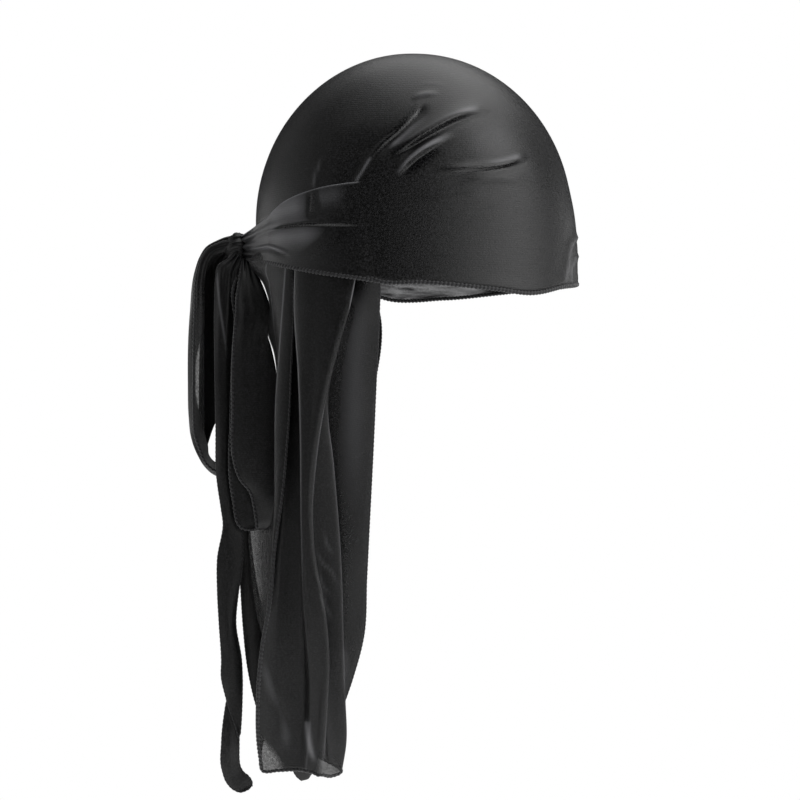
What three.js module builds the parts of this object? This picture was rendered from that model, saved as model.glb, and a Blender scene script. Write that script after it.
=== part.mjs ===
// A durag in the form it has on a head: a fitted satin cap, its two tie straps, the bow behind the
// head and the tail.
// Millimetres. +X is the wearer's front, +Y the wearer's left and +Z up.
// The origin is the inside of the crown at its very top, where the head seats.

import * as THREE from 'three';

// ---- driving dimensions ----

const WALL = 1.2; // cloth with its hems and seam allowance
const AIR = 0.5; // between two layers of cloth that lie on each other
const KNOT_AIR = 0.4; // between the knot and each band that leaves it

const HALF_LENGTH = 98.5; // crown, centre to forehead or back
const HALF_BREADTH = 76;
const LENGTH_RISE = 105; // height over which the crown curves to its full length
const BREADTH_RISE = 92;
const PLAN_POWER = 2.15; // 2 is an ellipse in plan, more is squarer
const BACK_SWELL = 0.04; // a head is broadest behind its middle
const BROW = 3.4; // the forehead band stands this far in front of the dome
const BROW_FROM = 80;
const BROW_TO = 125;

const STRAP_LEAVES = 151; // degrees round from the forehead, where the strap leaves the head for the knot
const STRAP_ON_HEAD = 0.72; // share of the strap's visible run that lies on the head
const STRAP_START = 4.5; // degrees from the seam line to the strap's own front edge
const STEP_WIDTH = 3; // degrees over which the crown drops in under the strap
const STEP_FADES = { from: -38, to: -80 }; // height at which the step starts, and where it is whole
const STEP_ENDS = { from: 158, to: 176 }; // degrees over which it fades again, behind the strap
const TAIL_DROP = 1.4; // from the crown's edge down to the tail's top, both hidden by the strap
const KNOT_GRIP = { turn: 52, from: -30, to: 46 }; // where the strap's end wraps the knot, in degrees

const KNOT = { x: -110, y: 0, z: -120, alongX: 8.5, alongY: 10, alongZ: 11 };

const TAIL_HIGH = -160; // heights at which the tail's folds are set
const TAIL_UPPER = -216;
const TAIL_MIDDLE = -315;
const TAIL_LOWER = -395;
const LEFT_PLEATS = { depth: 4.5, count: 3.5 }; // soft pleats in the half of the tail on the wearer's left

// Columns of the crown, as stretches of azimuth with their number of columns. They are close at the seams.
const CROWN_COLUMNS = [
  { from: -180, to: -113, count: 11 },
  { from: -113, to: -99, count: 6 },
  { from: -99, to: 99, count: 32 },
  { from: 99, to: 113, count: 6 },
  { from: 113, to: 180, count: 11 },
];
const RESOLUTION = {
  crownDown: 19,
  strapAlong: 18,
  strapAcross: 6,
  bandAlong: 26,
  bandAcross: 4,
  tailPerFold: 4,
  tailDown: 14,
  knotAround: 16,
  knotDown: 8,
};

// ---- tables ----

// Lower edge of the crown. Azimuth is in degrees from the forehead, negative on the wearer's right.
const RIM = [
  { azimuth: -180, z: -117 },
  { azimuth: -150, z: -125 },
  { azimuth: -125, z: -132 },
  { azimuth: -104, z: -137.5 },
  { azimuth: -101, z: -145 },
  { azimuth: -88, z: -145.8 },
  { azimuth: -62, z: -149.4 },
  { azimuth: -50, z: -151 },
  { azimuth: -28, z: -145.5 },
  { azimuth: -12, z: -142.6 },
  { azimuth: 0, z: -142 },
  { azimuth: 30, z: -141.5 },
  { azimuth: 56, z: -143 },
  { azimuth: 79, z: -146 },
  { azimuth: 101, z: -145 },
  { azimuth: 104, z: -137.5 },
  { azimuth: 125, z: -132 },
  { azimuth: 150, z: -125 },
  { azimuth: 180, z: -117 },
];

// Where the strap is sewn to the crown: degrees round from the forehead at each height.
const SEAM = [
  { z: -150, azimuth: 101 },
  { z: -88, azimuth: 108.6 },
  { z: -60, azimuth: 95 },
  { z: -38, azimuth: 82 },
];

// Lower and upper edge of the strap, by degrees round from the forehead.
const STRAP = [
  { azimuth: 101, hem: -145, top: -88 },
  { azimuth: 125, hem: -138.8, top: -90 },
  { azimuth: STRAP_LEAVES, hem: -131.5, top: -104 },
];

// Folds drawn from the temple towards the top. Rise is positive for a ridge and negative for a valley.
const FOLDS = [
  { name: 'seam valley', fromX: -30, fromZ: -88, toX: 12, toZ: -36, width: 8, rise: -2.2 },
  { name: 'upper crease', fromX: -12, fromZ: -76, toX: 44, toZ: -42, width: 6, rise: -1.8 },
  { name: 'long ridge', fromX: -12, fromZ: -84, toX: 24, toZ: -55, width: 7, rise: 1.8 },
  { name: 'brow crease', fromX: 14, fromZ: -82, toX: 68, toZ: -70, width: 6, rise: -1.6 },
];

// The tail's folds in order across the cloth, from its right edge to its left edge. Nape is in degrees
// round from the forehead by the wearer's right, and tuck is how far a pleat lies inside the nape's line.
// x, y at each height from just under the strap to the foot, then the height of the hem.
//  fold           nape   tuck   high x, y    upper x, y   middle x, y  lower x, y   foot x, y    hem
const TAIL_FOLDS = [
  ['right edge',   104.5, 2.5,   -20, -62,    -23, -49,    -26.5, -35,  -41, -28,    -50, -24,    -426],
  ['under tuck',   111.5, 6.5,   -42, -62,    -57, -51,    -65, -38,    -71, -32,    -69, -28,    -425],
  ['long fold',    109.5, 4.5,   -42, -65,    -52, -55,    -45, -43,    -42, -37,    -44, -34,    -438],
  ['inner tuck',   111.0, 2.4,   -47, -68,    -60, -59,    -63, -48,    -59, -42,    -50, -39,    -440],
  ['front pleat',  108.5, 0.0,   -38, -70,    -52, -64,    -58, -54,    -51, -47,    -56, -42,    -439],
  ['ear pleat',    135.4, 0.0,   -71, -55,    -68, -60,    -67, -55,    -62, -48,    -63, -42,    -437],
  ['valley',       136.4, 4.0,   -72, -47,    -70, -46,    -69, -43,    -65, -39,    -68, -38,    -436],
  ['centre seam',  138.5, 1.6,   -73, -50,    -74, -50,    -84, -43,    -95, -36,    -93, -32,    -438],
  ['seam fold',    141.0, 0.6,   -79, -46,    -82, -42,    -83, -35,    -92, -30,    -90, -26,    -414],
  ['back pleat',   152.0, 0.0,   -84, -30,    -82, -16,    -88, -14,    -84, -25,    -82, -21,    -413],
  ['back',         176.0, 0.0,   -88, -10,    -82, -14,    -72, -15,    -74, -15,    -74, -12,    -416],
  ['left pleat',   204.0, 0.0,   -78, 25,     -71, 10,     -62, 2,      -64, -3,     -64, -2,     -419],
  ['left fall',    230.0, 0.0,   -52, 50,     -50, 26,     -47, 12,     -55, 6,      -57, 6,      -421],
  ['left edge',    255.5, 0.0,   -22, 62,     -27, 38,     -33, 22,     -49, 12,     -51, 11,     -420],
];

// Bands that leave the knot. Each row is a point of the band's middle line, half its width there and the
// direction of its width in plan, in degrees from +X.
//    x      y      z      half   turn
const OUTER_LOOP = [
  [-115.6, -1.0,  -109.9,  3.5,   95],
  [-122.0, -1.0,  -114.9,  8.0,   100],
  [-129.0, -1.0,  -125.0,  12.0,  106],
  [-133.4, -1.0,  -148.0,  14.0,  110],
  [-134.6, 0.0,   -185.0,  15.0,  112],
  [-135.2, 1.0,   -218.0,  15.0,  112],
  [-133.0, 2.0,   -242.0,  14.0,  108],
  [-125.5, 3.0,   -256.5,  12.0,  102],
  [-118.6, 4.0,   -259.0,  11.0,  100],
  [-117.6, 5.0,   -247.0,  11.0,  102],
  [-123.6, 5.0,   -232.0,  11.0,  106],
  [-127.0, 5.0,   -210.0,  11.0,  108],
  [-127.8, 5.0,   -180.0,  11.0,  108],
  [-127.0, 4.0,   -152.0,  9.0,   104],
  [-124.0, 2.5,   -134.0,  6.0,   98],
  [-118.6, 1.0,   -124.5,  3.5,   95],
];
const FRONT_LOOP = [
  [-109.0, -5.2,  -129.9,  3.0,   10],
  [-104.5, -16.0, -141.0,  6.0,   6],
  [-100.5, -26.0, -158.0,  9.5,   2],
  [-98.8, -29.0,  -190.0,  12.0,  0],
  [-98.4, -30.0,  -225.0,  12.8,  0],
  [-99.0, -30.0,  -262.0,  12.8,  0],
  [-100.0, -29.0, -286.0,  11.5,  0],
  [-100.5, -26.0, -291.4,  10.5,  0],
  [-100.3, -22.5, -286.0,  10.5,  0],
  [-99.2, -20.5,  -255.0,  11.0,  2],
  [-98.8, -19.0,  -215.0,  11.0,  4],
  [-99.6, -17.0,  -175.0,  9.0,   8],
  [-103.0, -10.5, -149.0,  5.5,   12],
  [-107.0, -2.2,  -131.4,  3.0,   14],
];
const LONG_END = [
  [-114.5, -4.6,  -130.2,  2.6,   20],
  [-116.0, -8.4,  -142.0,  5.5,   16],
  [-115.5, -13.0, -165.0,  7.0,   10],
  [-114.5, -14.5, -205.0,  7.6,   6],
  [-113.0, -15.0, -252.0,  7.4,   4],
  [-111.4, -15.0, -291.0,  7.2,   0],
  [-112.6, -15.0, -320.0,  6.4,   -8],
  [-113.4, -15.5, -350.0,  5.8,   -12],
  [-111.2, -16.0, -386.0,  6.4,   -6],
  [-110.2, -16.0, -402.0,  5.2,   20],
  [-111.4, -16.0, -424.0,  5.8,   4],
  [-111.0, -16.0, -440.0,  6.4,   -4],
  [-107.6, -16.0, -450.0,  7.0,   -10],
  [-105.5, -16.0, -453.5,  4.4,   -10],
];
const SHORT_END = [
  [-107.5, 3.6,   -131.0,  3.0,   0],
  [-105.4, 1.0,   -150.0,  6.0,   0],
  [-104.8, -3.0,  -190.0,  7.0,   0],
  [-104.8, -4.0,  -240.0,  7.0,   0],
  [-104.6, -4.0,  -292.0,  6.0,   0],
  [-102.4, -4.0,  -330.0,  5.5,   2],
  [-97.8, -3.0,   -364.0,  8.0,   6],
  [-91.0, -1.0,   -395.0,  10.0,  10],
  [-83.0, 2.5,    -415.0,  11.5,  12],
  [-73.0, 5.5,    -437.0,  9.5,   12],
  [-69.5, 6.5,    -450.5,  4.0,   12],
];

// ---- small helpers ----

const radians = (degrees) => (degrees * Math.PI) / 180;
const mix = (a, b, share) => a + (b - a) * share;

/** 0 before `from`, 1 after `to`, and a smooth rise between them. */
function ramp(from, to, x) {
  const share = Math.min(Math.max((x - from) / (to - from), 0), 1);
  return share * share * (3 - 2 * share);
}

/** A smooth curve through a table's rows, read at x. The rows are in order of `key`. */
function readTable(rows, key, value, x) {
  const last = rows.length - 1;
  const rising = rows[last][key] > rows[0][key];
  let i = 0;
  while (i < last - 1 && (rising ? x > rows[i + 1][key] : x < rows[i + 1][key])) i += 1;
  const slope = (k) => {
    const before = rows[Math.max(k - 1, 0)];
    const after = rows[Math.min(k + 1, last)];
    return (after[value] - before[value]) / (after[key] - before[key]);
  };
  const span = rows[i + 1][key] - rows[i][key];
  const t = Math.min(Math.max((x - rows[i][key]) / span, 0), 1);
  const a = rows[i][value];
  const b = rows[i + 1][value];
  const bend = (1 - t) * (span * slope(i) - (b - a)) - t * (span * slope(i + 1) - (b - a));
  return mix(a, b, t) + t * (1 - t) * bend;
}

/** A closed solid from points and triangles, with its faces turned outwards. */
function solidFrom(points, triangles) {
  const a = new THREE.Vector3();
  let volume = 0;
  for (const [i, j, k] of triangles) volume += a.crossVectors(points[i], points[j]).dot(points[k]);
  const turned = volume < 0 ? triangles.map(([i, j, k]) => [i, k, j]) : triangles;
  const geometry = new THREE.BufferGeometry().setFromPoints(points);
  geometry.setIndex(turned.flat());
  geometry.computeVertexNormals();
  return geometry;
}

/** Rings of points from one pole to the other, as a closed solid. All rings have as many points. */
function solidOfRings(rings, firstPole, lastPole) {
  const around = rings[0].length;
  const points = [...rings.flat(), firstPole, lastPole];
  const first = points.length - 2;
  const last = points.length - 1;
  const triangles = [];
  for (let i = 0; i < around; i += 1) {
    const next = (i + 1) % around;
    const end = (rings.length - 1) * around;
    triangles.push([first, i, next], [last, end + next, end + i]);
    for (let r = 0; r + 1 < rings.length; r += 1) {
      const here = r * around;
      const below = here + around;
      triangles.push([here + i, below + i, below + next], [here + i, below + next, here + next]);
    }
  }
  return solidFrom(points, triangles);
}

/** A sheet's grid of middle points as a closed solid: half the wall each side, and walls round its edge. */
function solidOfSheet(grid, wall) {
  const rows = grid.length;
  const columns = grid[0].length;
  const at = (i, j) => grid[Math.min(Math.max(i, 0), rows - 1)][Math.min(Math.max(j, 0), columns - 1)];
  const faces = [1, -1].map((side) =>
    grid.flatMap((row, i) =>
      row.map((point, j) => {
        const along = at(i + 1, j).clone().sub(at(i - 1, j));
        const across = at(i, j + 1).clone().sub(at(i, j - 1));
        const normal = along.cross(across).normalize();
        return point.clone().addScaledVector(normal, (side * wall) / 2);
      }),
    ),
  );
  const back = rows * columns;
  const index = (i, j) => i * columns + j;
  const triangles = [];
  const quad = (a, b, c, d) => triangles.push([a, b, c], [a, c, d]);
  for (let i = 0; i + 1 < rows; i += 1) {
    for (let j = 0; j + 1 < columns; j += 1) {
      const corners = [index(i, j), index(i + 1, j), index(i + 1, j + 1), index(i, j + 1)];
      quad(...corners);
      quad(...corners.map((corner) => corner + back).reverse());
    }
  }
  const rim = [];
  for (let j = 0; j < columns - 1; j += 1) rim.push(index(0, j));
  for (let i = 0; i < rows - 1; i += 1) rim.push(index(i, columns - 1));
  for (let j = columns - 1; j > 0; j -= 1) rim.push(index(rows - 1, j));
  for (let i = rows - 1; i > 0; i -= 1) rim.push(index(i, 0));
  rim.forEach((corner, n) => {
    const next = rim[(n + 1) % rim.length];
    quad(corner, next, next + back, corner + back);
  });
  return solidFrom(faces.flat(), triangles);
}

// ---- the head-shaped surface that the crown, the straps and the tail's top lie on ----

/** How far out the dome is at a drop below its top, as a share of its reach: an ellipse, then upright. */
function domeShare(drop, rise) {
  if (drop >= rise) return 1;
  return Math.sqrt(Math.max(1 - ((rise - drop) / rise) ** 2, 0));
}

/** Outer face of the finished cap, without folds, at degrees round from the forehead and a height. */
function capFace(azimuth, z) {
  const drop = WALL - z;
  const c = Math.cos(radians(azimuth));
  const s = Math.sin(radians(azimuth));
  const along = Math.sign(c) * Math.abs(c) ** (2 / PLAN_POWER);
  const across = Math.sign(s) * Math.abs(s) ** (2 / PLAN_POWER);
  const brow = BROW * ramp(BROW_FROM, BROW_TO, drop) * Math.max(c, 0) ** 3;
  return new THREE.Vector3(
    HALF_LENGTH * domeShare(drop, LENGTH_RISE) * along + brow,
    HALF_BREADTH * (1 - BACK_SWELL * c) * domeShare(drop, BREADTH_RISE) * across,
    z,
  );
}

/** Outward direction of the cap's face. */
function capNormal(azimuth, z) {
  const step = 0.5;
  const lowest = Math.min(z, WALL - 2 * step);
  const round = capFace(azimuth + step, lowest).sub(capFace(azimuth - step, lowest));
  const up = capFace(azimuth, lowest + step).sub(capFace(azimuth, lowest - step));
  return round.cross(up).normalize();
}

/** A point of the cap's face moved inwards. */
function insideCap(azimuth, z, depth) {
  return capFace(azimuth, z).addScaledVector(capNormal(azimuth, z), -depth);
}

// ---- crown ----

/** How far the crown lies inside the cap's face, so that the strap can lie flush on it. */
function stepUnderStrap(azimuth, z) {
  const pastSeam = Math.abs(azimuth) - readTable(SEAM, 'z', 'azimuth', z);
  const below = ramp(STEP_FADES.from, STEP_FADES.to, z);
  const before = ramp(STEP_ENDS.to, STEP_ENDS.from, Math.abs(azimuth));
  return (WALL + AIR) * ramp(0, STEP_WIDTH, pastSeam) * below * before;
}

/** Height of the temple folds at a point of the crown. Each is a soft ridge along a line. */
function foldRise({ x, z }) {
  return FOLDS.reduce((sum, fold) => {
    const runX = fold.toX - fold.fromX;
    const runZ = fold.toZ - fold.fromZ;
    const along = ((x - fold.fromX) * runX + (z - fold.fromZ) * runZ) / (runX ** 2 + runZ ** 2);
    const off = ((z - fold.fromZ) * runX - (x - fold.fromX) * runZ) / Math.hypot(runX, runZ);
    const fade = ramp(-0.15, 0.25, along) * ramp(1.15, 0.7, along);
    return sum + fold.rise * fade * Math.exp(-((off / fold.width) ** 2));
  }, 0);
}

/** The azimuths of the crown's columns, once round. */
function crownAzimuths() {
  return CROWN_COLUMNS.flatMap(({ from, to, count }) =>
    Array.from({ length: count }, (_, i) => mix(from, to, i / count)),
  );
}

/** One ring of the crown, at a share of the way from its top to its edge and a depth inside its face. */
function crownRing(share, depth) {
  const sweep = radians(100);
  return crownAzimuths().map((azimuth) => {
    const rimDrop = WALL - readTable(RIM, 'azimuth', 'z', azimuth);
    const z = WALL - (rimDrop * (1 - Math.cos(share * sweep))) / (1 - Math.cos(sweep));
    const face = capFace(azimuth, z);
    const inwards = depth + stepUnderStrap(azimuth, z) - foldRise(face);
    return face.addScaledVector(capNormal(azimuth, z), -inwards);
  });
}

function crown() {
  const shares = Array.from({ length: RESOLUTION.crownDown }, (_, i) => (i + 1) / RESOLUTION.crownDown);
  const outer = shares.map((share) => crownRing(share, 0));
  const inner = shares.map((share) => crownRing(share, WALL)).reverse();
  return solidOfRings([...outer, ...inner], new THREE.Vector3(0, 0, WALL), new THREE.Vector3(0, 0, 0));
}

// ---- straps and knot ----

/** A point on the knot's face, or a little outside it, in a direction given by two angles. */
function knotFace(turn, lift, air) {
  const flat = Math.cos(radians(lift));
  return new THREE.Vector3(
    KNOT.x + (KNOT.alongX + air) * flat * Math.cos(radians(turn)),
    KNOT.y + (KNOT.alongY + air) * flat * Math.sin(radians(turn)),
    KNOT.z + (KNOT.alongZ + air) * Math.sin(radians(lift)),
  );
}

/** The strap on one side, +1 for the wearer's left: round the head from its seam, then to the knot. */
function strap(side) {
  const { strapAlong, strapAcross } = RESOLUTION;
  const grid = [];
  for (let i = 0; i <= strapAlong; i += 1) {
    const along = i / strapAlong;
    const row = [];
    for (let j = 0; j <= strapAcross; j += 1) {
      const across = j / strapAcross;
      const onHead = Math.min(along / STRAP_ON_HEAD, 1);
      const front = STRAP[0];
      const seam = readTable(SEAM, 'z', 'azimuth', mix(front.hem, front.top, across)) + STRAP_START;
      const azimuth = mix(seam, STRAP_LEAVES, onHead);
      const hem = readTable(STRAP, 'azimuth', 'hem', azimuth);
      const z = mix(hem, readTable(STRAP, 'azimuth', 'top', azimuth), across);
      const point = insideCap(side * azimuth, z, WALL / 2);
      const free = Math.max((along - STRAP_ON_HEAD) / (1 - STRAP_ON_HEAD), 0);
      const grip = mix(KNOT_GRIP.from, KNOT_GRIP.to, across);
      row.push(point.lerp(knotFace(side * KNOT_GRIP.turn, grip, KNOT_AIR), free));
    }
    grid.push(row);
  }
  return solidOfSheet(grid, WALL);
}

/** The knot: an egg of wound cloth with a waist where its last turn crosses. */
function knot() {
  const { knotAround, knotDown } = RESOLUTION;
  const rings = [];
  for (let i = 1; i < knotDown; i += 1) {
    const lift = 90 - (180 * i) / knotDown;
    const ring = [];
    for (let j = 0; j < knotAround; j += 1) ring.push(knotFace((360 * j) / knotAround, lift, 0));
    rings.push(ring);
  }
  return solidOfRings(rings, knotFace(0, 90, 0), knotFace(0, -90, 0));
}

// ---- bow loops and free ends ----

/** A band of cloth along a table's middle line, with its width lying in plan. */
function band(rows) {
  const { bandAlong, bandAcross } = RESOLUTION;
  const middle = new THREE.CatmullRomCurve3(rows.map(([x, y, z]) => new THREE.Vector3(x, y, z)));
  const spread = new THREE.CatmullRomCurve3(
    rows.map(([, , , half, turn]) => new THREE.Vector3(half, turn, 0)),
  );
  const grid = [];
  for (let i = 0; i <= bandAlong; i += 1) {
    const centre = middle.getPoint(i / bandAlong);
    const { x: half, y: turn } = spread.getPoint(i / bandAlong);
    const sideways = new THREE.Vector3(Math.cos(radians(turn)), Math.sin(radians(turn)), 0);
    const row = [];
    for (let j = 0; j <= bandAcross; j += 1) {
      row.push(centre.clone().addScaledVector(sideways, half * ((2 * j) / bandAcross - 1)));
    }
    grid.push(row);
  }
  return solidOfSheet(grid, WALL);
}

// ---- tail ----

/** A tail fold's middle line, from under the strap down to the hem. */
function foldLine([, nape, tuck, ...row]) {
  const hem = row.pop();
  const azimuth = nape > 180 ? 360 - nape : -nape;
  const edge = readTable(RIM, 'azimuth', 'z', azimuth) - TAIL_DROP;
  const points = [insideCap(azimuth, edge, WALL * 1.5 + AIR + tuck)];
  [TAIL_HIGH, TAIL_UPPER, TAIL_MIDDLE, TAIL_LOWER, hem].forEach((z, i) => {
    points.push(new THREE.Vector3(row[2 * i], row[2 * i + 1], z));
  });
  return new THREE.CatmullRomCurve3(points);
}

function tail() {
  const { tailPerFold, tailDown } = RESOLUTION;
  const lines = TAIL_FOLDS.map(foldLine);
  const firstLeft = TAIL_FOLDS.findIndex(([name]) => name === 'seam fold');
  const folds = lines.length - 1;
  const columns = folds * tailPerFold;
  const grid = [];
  for (let i = 0; i <= tailDown; i += 1) {
    const down = i / tailDown;
    const across = new THREE.CatmullRomCurve3(lines.map((line) => line.getPoint(down)));
    const row = [];
    for (let j = 0; j <= columns; j += 1) {
      const point = across.getPoint(j / columns);
      const past = (j / tailPerFold - firstLeft) / (folds - firstLeft);
      if (past > 0) {
        const run = across.getTangent(j / columns);
        const depth = LEFT_PLEATS.depth * ramp(0.05, 0.5, down) * ramp(0.15, 0.35, past);
        const wave = depth * Math.sin(2 * Math.PI * LEFT_PLEATS.count * past);
        point.add(new THREE.Vector3(-run.y, run.x, 0).normalize().multiplyScalar(wave));
      }
      row.push(point);
    }
    grid.push(row);
  }
  return solidOfSheet(grid, WALL);
}

// ---- assembly ----

/** One named mesh in satin, a little lighter or darker than its neighbours. */
function satin(name, geometry, color) {
  const material = new THREE.MeshStandardMaterial({ color, roughness: 0.42, metalness: 0 });
  const mesh = new THREE.Mesh(geometry, material);
  mesh.name = name;
  return mesh;
}

const durag = new THREE.Group();
durag.name = 'durag';
durag.add(
  satin('crown', crown(), 0x1b1b1d),
  satin('strap_right', strap(-1), 0x18181a),
  satin('strap_left', strap(1), 0x18181a),
  satin('knot', knot(), 0x141416),
  satin('bow_loop_outer', band(OUTER_LOOP), 0x161618),
  satin('bow_loop_front', band(FRONT_LOOP), 0x171719),
  satin('tie_end_long', band(LONG_END), 0x161618),
  satin('tie_end_short', band(SHORT_END), 0x161618),
  satin('tail', tail(), 0x1a1a1c),
);

export default durag;
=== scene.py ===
"""A black satin durag in the form it has on a head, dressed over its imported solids.

The cap, its two tie straps, the bow behind the head and the tail are built as thin
cloth surfaces. Sizes are in millimetres and are turned to metres where a mesh is made.
+X is the wearer's front, +Y the wearer's left and +Z up, and the origin is the inside
of the crown at its very top. Angles are degrees round from the forehead.
"""

import logging
import math
from dataclasses import dataclass, field
from enum import Enum

import bpy
import numpy as np
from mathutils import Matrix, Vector


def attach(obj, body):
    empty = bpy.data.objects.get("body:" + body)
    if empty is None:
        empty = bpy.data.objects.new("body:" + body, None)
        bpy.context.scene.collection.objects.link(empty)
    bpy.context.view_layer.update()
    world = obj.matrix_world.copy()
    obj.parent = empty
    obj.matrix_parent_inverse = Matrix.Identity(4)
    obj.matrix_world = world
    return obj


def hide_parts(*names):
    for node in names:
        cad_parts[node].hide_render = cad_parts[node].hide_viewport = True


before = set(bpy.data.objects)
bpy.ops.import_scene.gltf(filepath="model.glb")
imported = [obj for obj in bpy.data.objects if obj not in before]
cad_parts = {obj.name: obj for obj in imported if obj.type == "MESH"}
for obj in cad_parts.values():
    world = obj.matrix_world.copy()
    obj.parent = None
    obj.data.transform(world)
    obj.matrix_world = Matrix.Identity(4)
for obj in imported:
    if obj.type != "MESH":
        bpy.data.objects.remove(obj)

log = logging.getLogger("durag")
MM = 0.001
WAVE = 0.314  # scale of a wave texture that repeats once a metre
Array = np.ndarray
Rows = tuple[tuple[float, ...], ...]


class Side(Enum):
    """A side of the wearer, and which way it lies along Y."""

    RIGHT = -1
    LEFT = 1


class Slot(Enum):
    """The part's finish slots."""

    CROWN = "crown_satin"
    STRAP = "strap_satin"
    KNOT = "knot_satin"
    TAIL = "tail_satin"


# ---- curves and grids ----


def smooth(start: float, end: float, x: Array) -> Array:
    """0 before start, 1 after end and 3t^2 - 2t^3 between them."""
    t = np.clip((np.asarray(x, float) - start) / (end - start), 0.0, 1.0)
    return t * t * (3.0 - 2.0 * t)


def bell(x: Array, width: float, power: int = 2) -> Array:
    """1 at 0 and close to 0 past the width: exp(-(x / width)^power)."""
    return np.exp(-((x / width) ** power))


def unit(v: Array) -> Array:
    """The same directions with length one."""
    return v / (np.linalg.norm(v, axis=-1, keepdims=True) + 1e-12)


def points_of(x: Array | float, y: Array | float, z: Array | float) -> Array:
    """Points whose x, y and z come from three arrays, spread to one shape."""
    return np.stack(np.broadcast_arrays(x, y, z), axis=-1)


def lengths(path: Array) -> Array:
    """How far along a line each of its points is."""
    return np.concatenate([[0], np.cumsum(np.linalg.norm(np.diff(path, axis=0), axis=1))])


def through(keys: Array, values: Array, at: Array) -> Array:
    """Reads a smooth curve through rows of values.

    Between two rows it is a cubic whose slopes come from the neighbouring rows.

    Args:
        keys: rising positions of the rows.
        values: one row of numbers for each key.
        at: where to read the curve.

    Returns:
        One row of numbers for each place read.
    """
    keys, values, at = (np.asarray(a, float) for a in (keys, values, at))
    slope = np.gradient(values, keys, axis=0)
    i = np.clip(np.searchsorted(keys, at, side="right") - 1, 0, len(keys) - 2)
    span = (keys[i + 1] - keys[i])[..., None]
    t = np.clip((at - keys[i])[..., None] / span, 0.0, 1.0)
    a, b = values[i], values[i + 1]
    bend_a, bend_b = span * slope[i] - (b - a), span * slope[i + 1] - (b - a)
    return a + (b - a) * t + t * (1 - t) * ((1 - t) * bend_a - t * bend_b)


@dataclass(frozen=True)
class Curve:
    """A smooth curve through a short table of rows: a rising key, then its values."""

    rows: Rows

    def all_at(self, key: Array) -> Array:
        """Every value at a key, on one more axis."""
        rows = np.asarray(self.rows, float)
        return through(rows[:, 0], rows[:, 1:], key)

    def at(self, key: Array) -> Array:
        """The first value at a key."""
        return self.all_at(key)[..., 0]


def spread_lines(lines: Array, between: int) -> Array:
    """Fills in columns between neighbouring lines.

    Every row of points gets a cubic through all its lines. The cubic's slopes are
    weighed by the square root of the gaps, so that a tight fold next to a wide
    panel doesn't make the panel swing.

    Args:
        lines: rows x lines x 3.
        between: columns from one line to the next.

    Returns:
        rows x columns x 3.
    """
    gap = np.sqrt(np.linalg.norm(np.diff(lines, axis=1), axis=2))[..., None] + 1e-6
    run = np.diff(lines, axis=1) / gap
    slope = np.empty_like(lines)
    weighed = run[:, 1:] * gap[:, :-1] + run[:, :-1] * gap[:, 1:]
    slope[:, 1:-1] = weighed / (gap[:, 1:] + gap[:, :-1])
    slope[:, 0], slope[:, -1] = run[:, 0], run[:, -1]
    t = (np.arange(between) / between)[None, None, :, None]
    a, b = lines[:, :-1, None], lines[:, 1:, None]
    ma, mb = slope[:, :-1, None] * gap[:, :, None], slope[:, 1:, None] * gap[:, :, None]
    h = (1 + 2 * t) * (1 - t) ** 2 * a + t * (1 - t) ** 2 * ma
    h = h + t * t * (3 - 2 * t) * b - t * t * (1 - t) * mb
    rows = h.reshape(lines.shape[0], -1, 3)
    return np.concatenate([rows, lines[:, -1:]], axis=1)


def crowded(count: int, start: float, end: float, about: float, width: float, more: float) -> Array:
    """Rising positions that lie closer together about one place.

    Their density is 1 + more * exp(-((p - about) / width)^2).

    Args:
        count: how many positions.
        start: the first.
        end: the last.
        about: where they crowd.
        width: how far the crowding reaches.
        more: how much denser they get.

    Returns:
        The positions.
    """
    fine = np.linspace(start, end, 2000)
    density = 1 + more * bell(fine - about, width)
    total = np.concatenate([[0], np.cumsum((density[1:] + density[:-1]) / 2)])
    return np.interp(np.linspace(0, total[-1], count), total, fine)


def grid_normals(points: Array) -> Array:
    """Unit normals of a grid of points: the cross product of its two directions."""
    return unit(np.cross(np.gradient(points, axis=0), np.gradient(points, axis=1)))


def flat_uv(points: Array) -> Array:
    """Works out how the cloth would lie flat.

    Args:
        points: a grid of points.

    Returns:
        Lengths along and down the cloth at each point, in millimetres.
    """
    along = np.linalg.norm(np.diff(points, axis=1), axis=2).mean(0)
    down = np.linalg.norm(np.diff(points, axis=0), axis=2).mean(1)
    u, v = (np.concatenate([[0], np.cumsum(step)]) for step in (along, down))
    return np.stack(np.broadcast_arrays(u[None, :], v[:, None]), axis=2)


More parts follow.
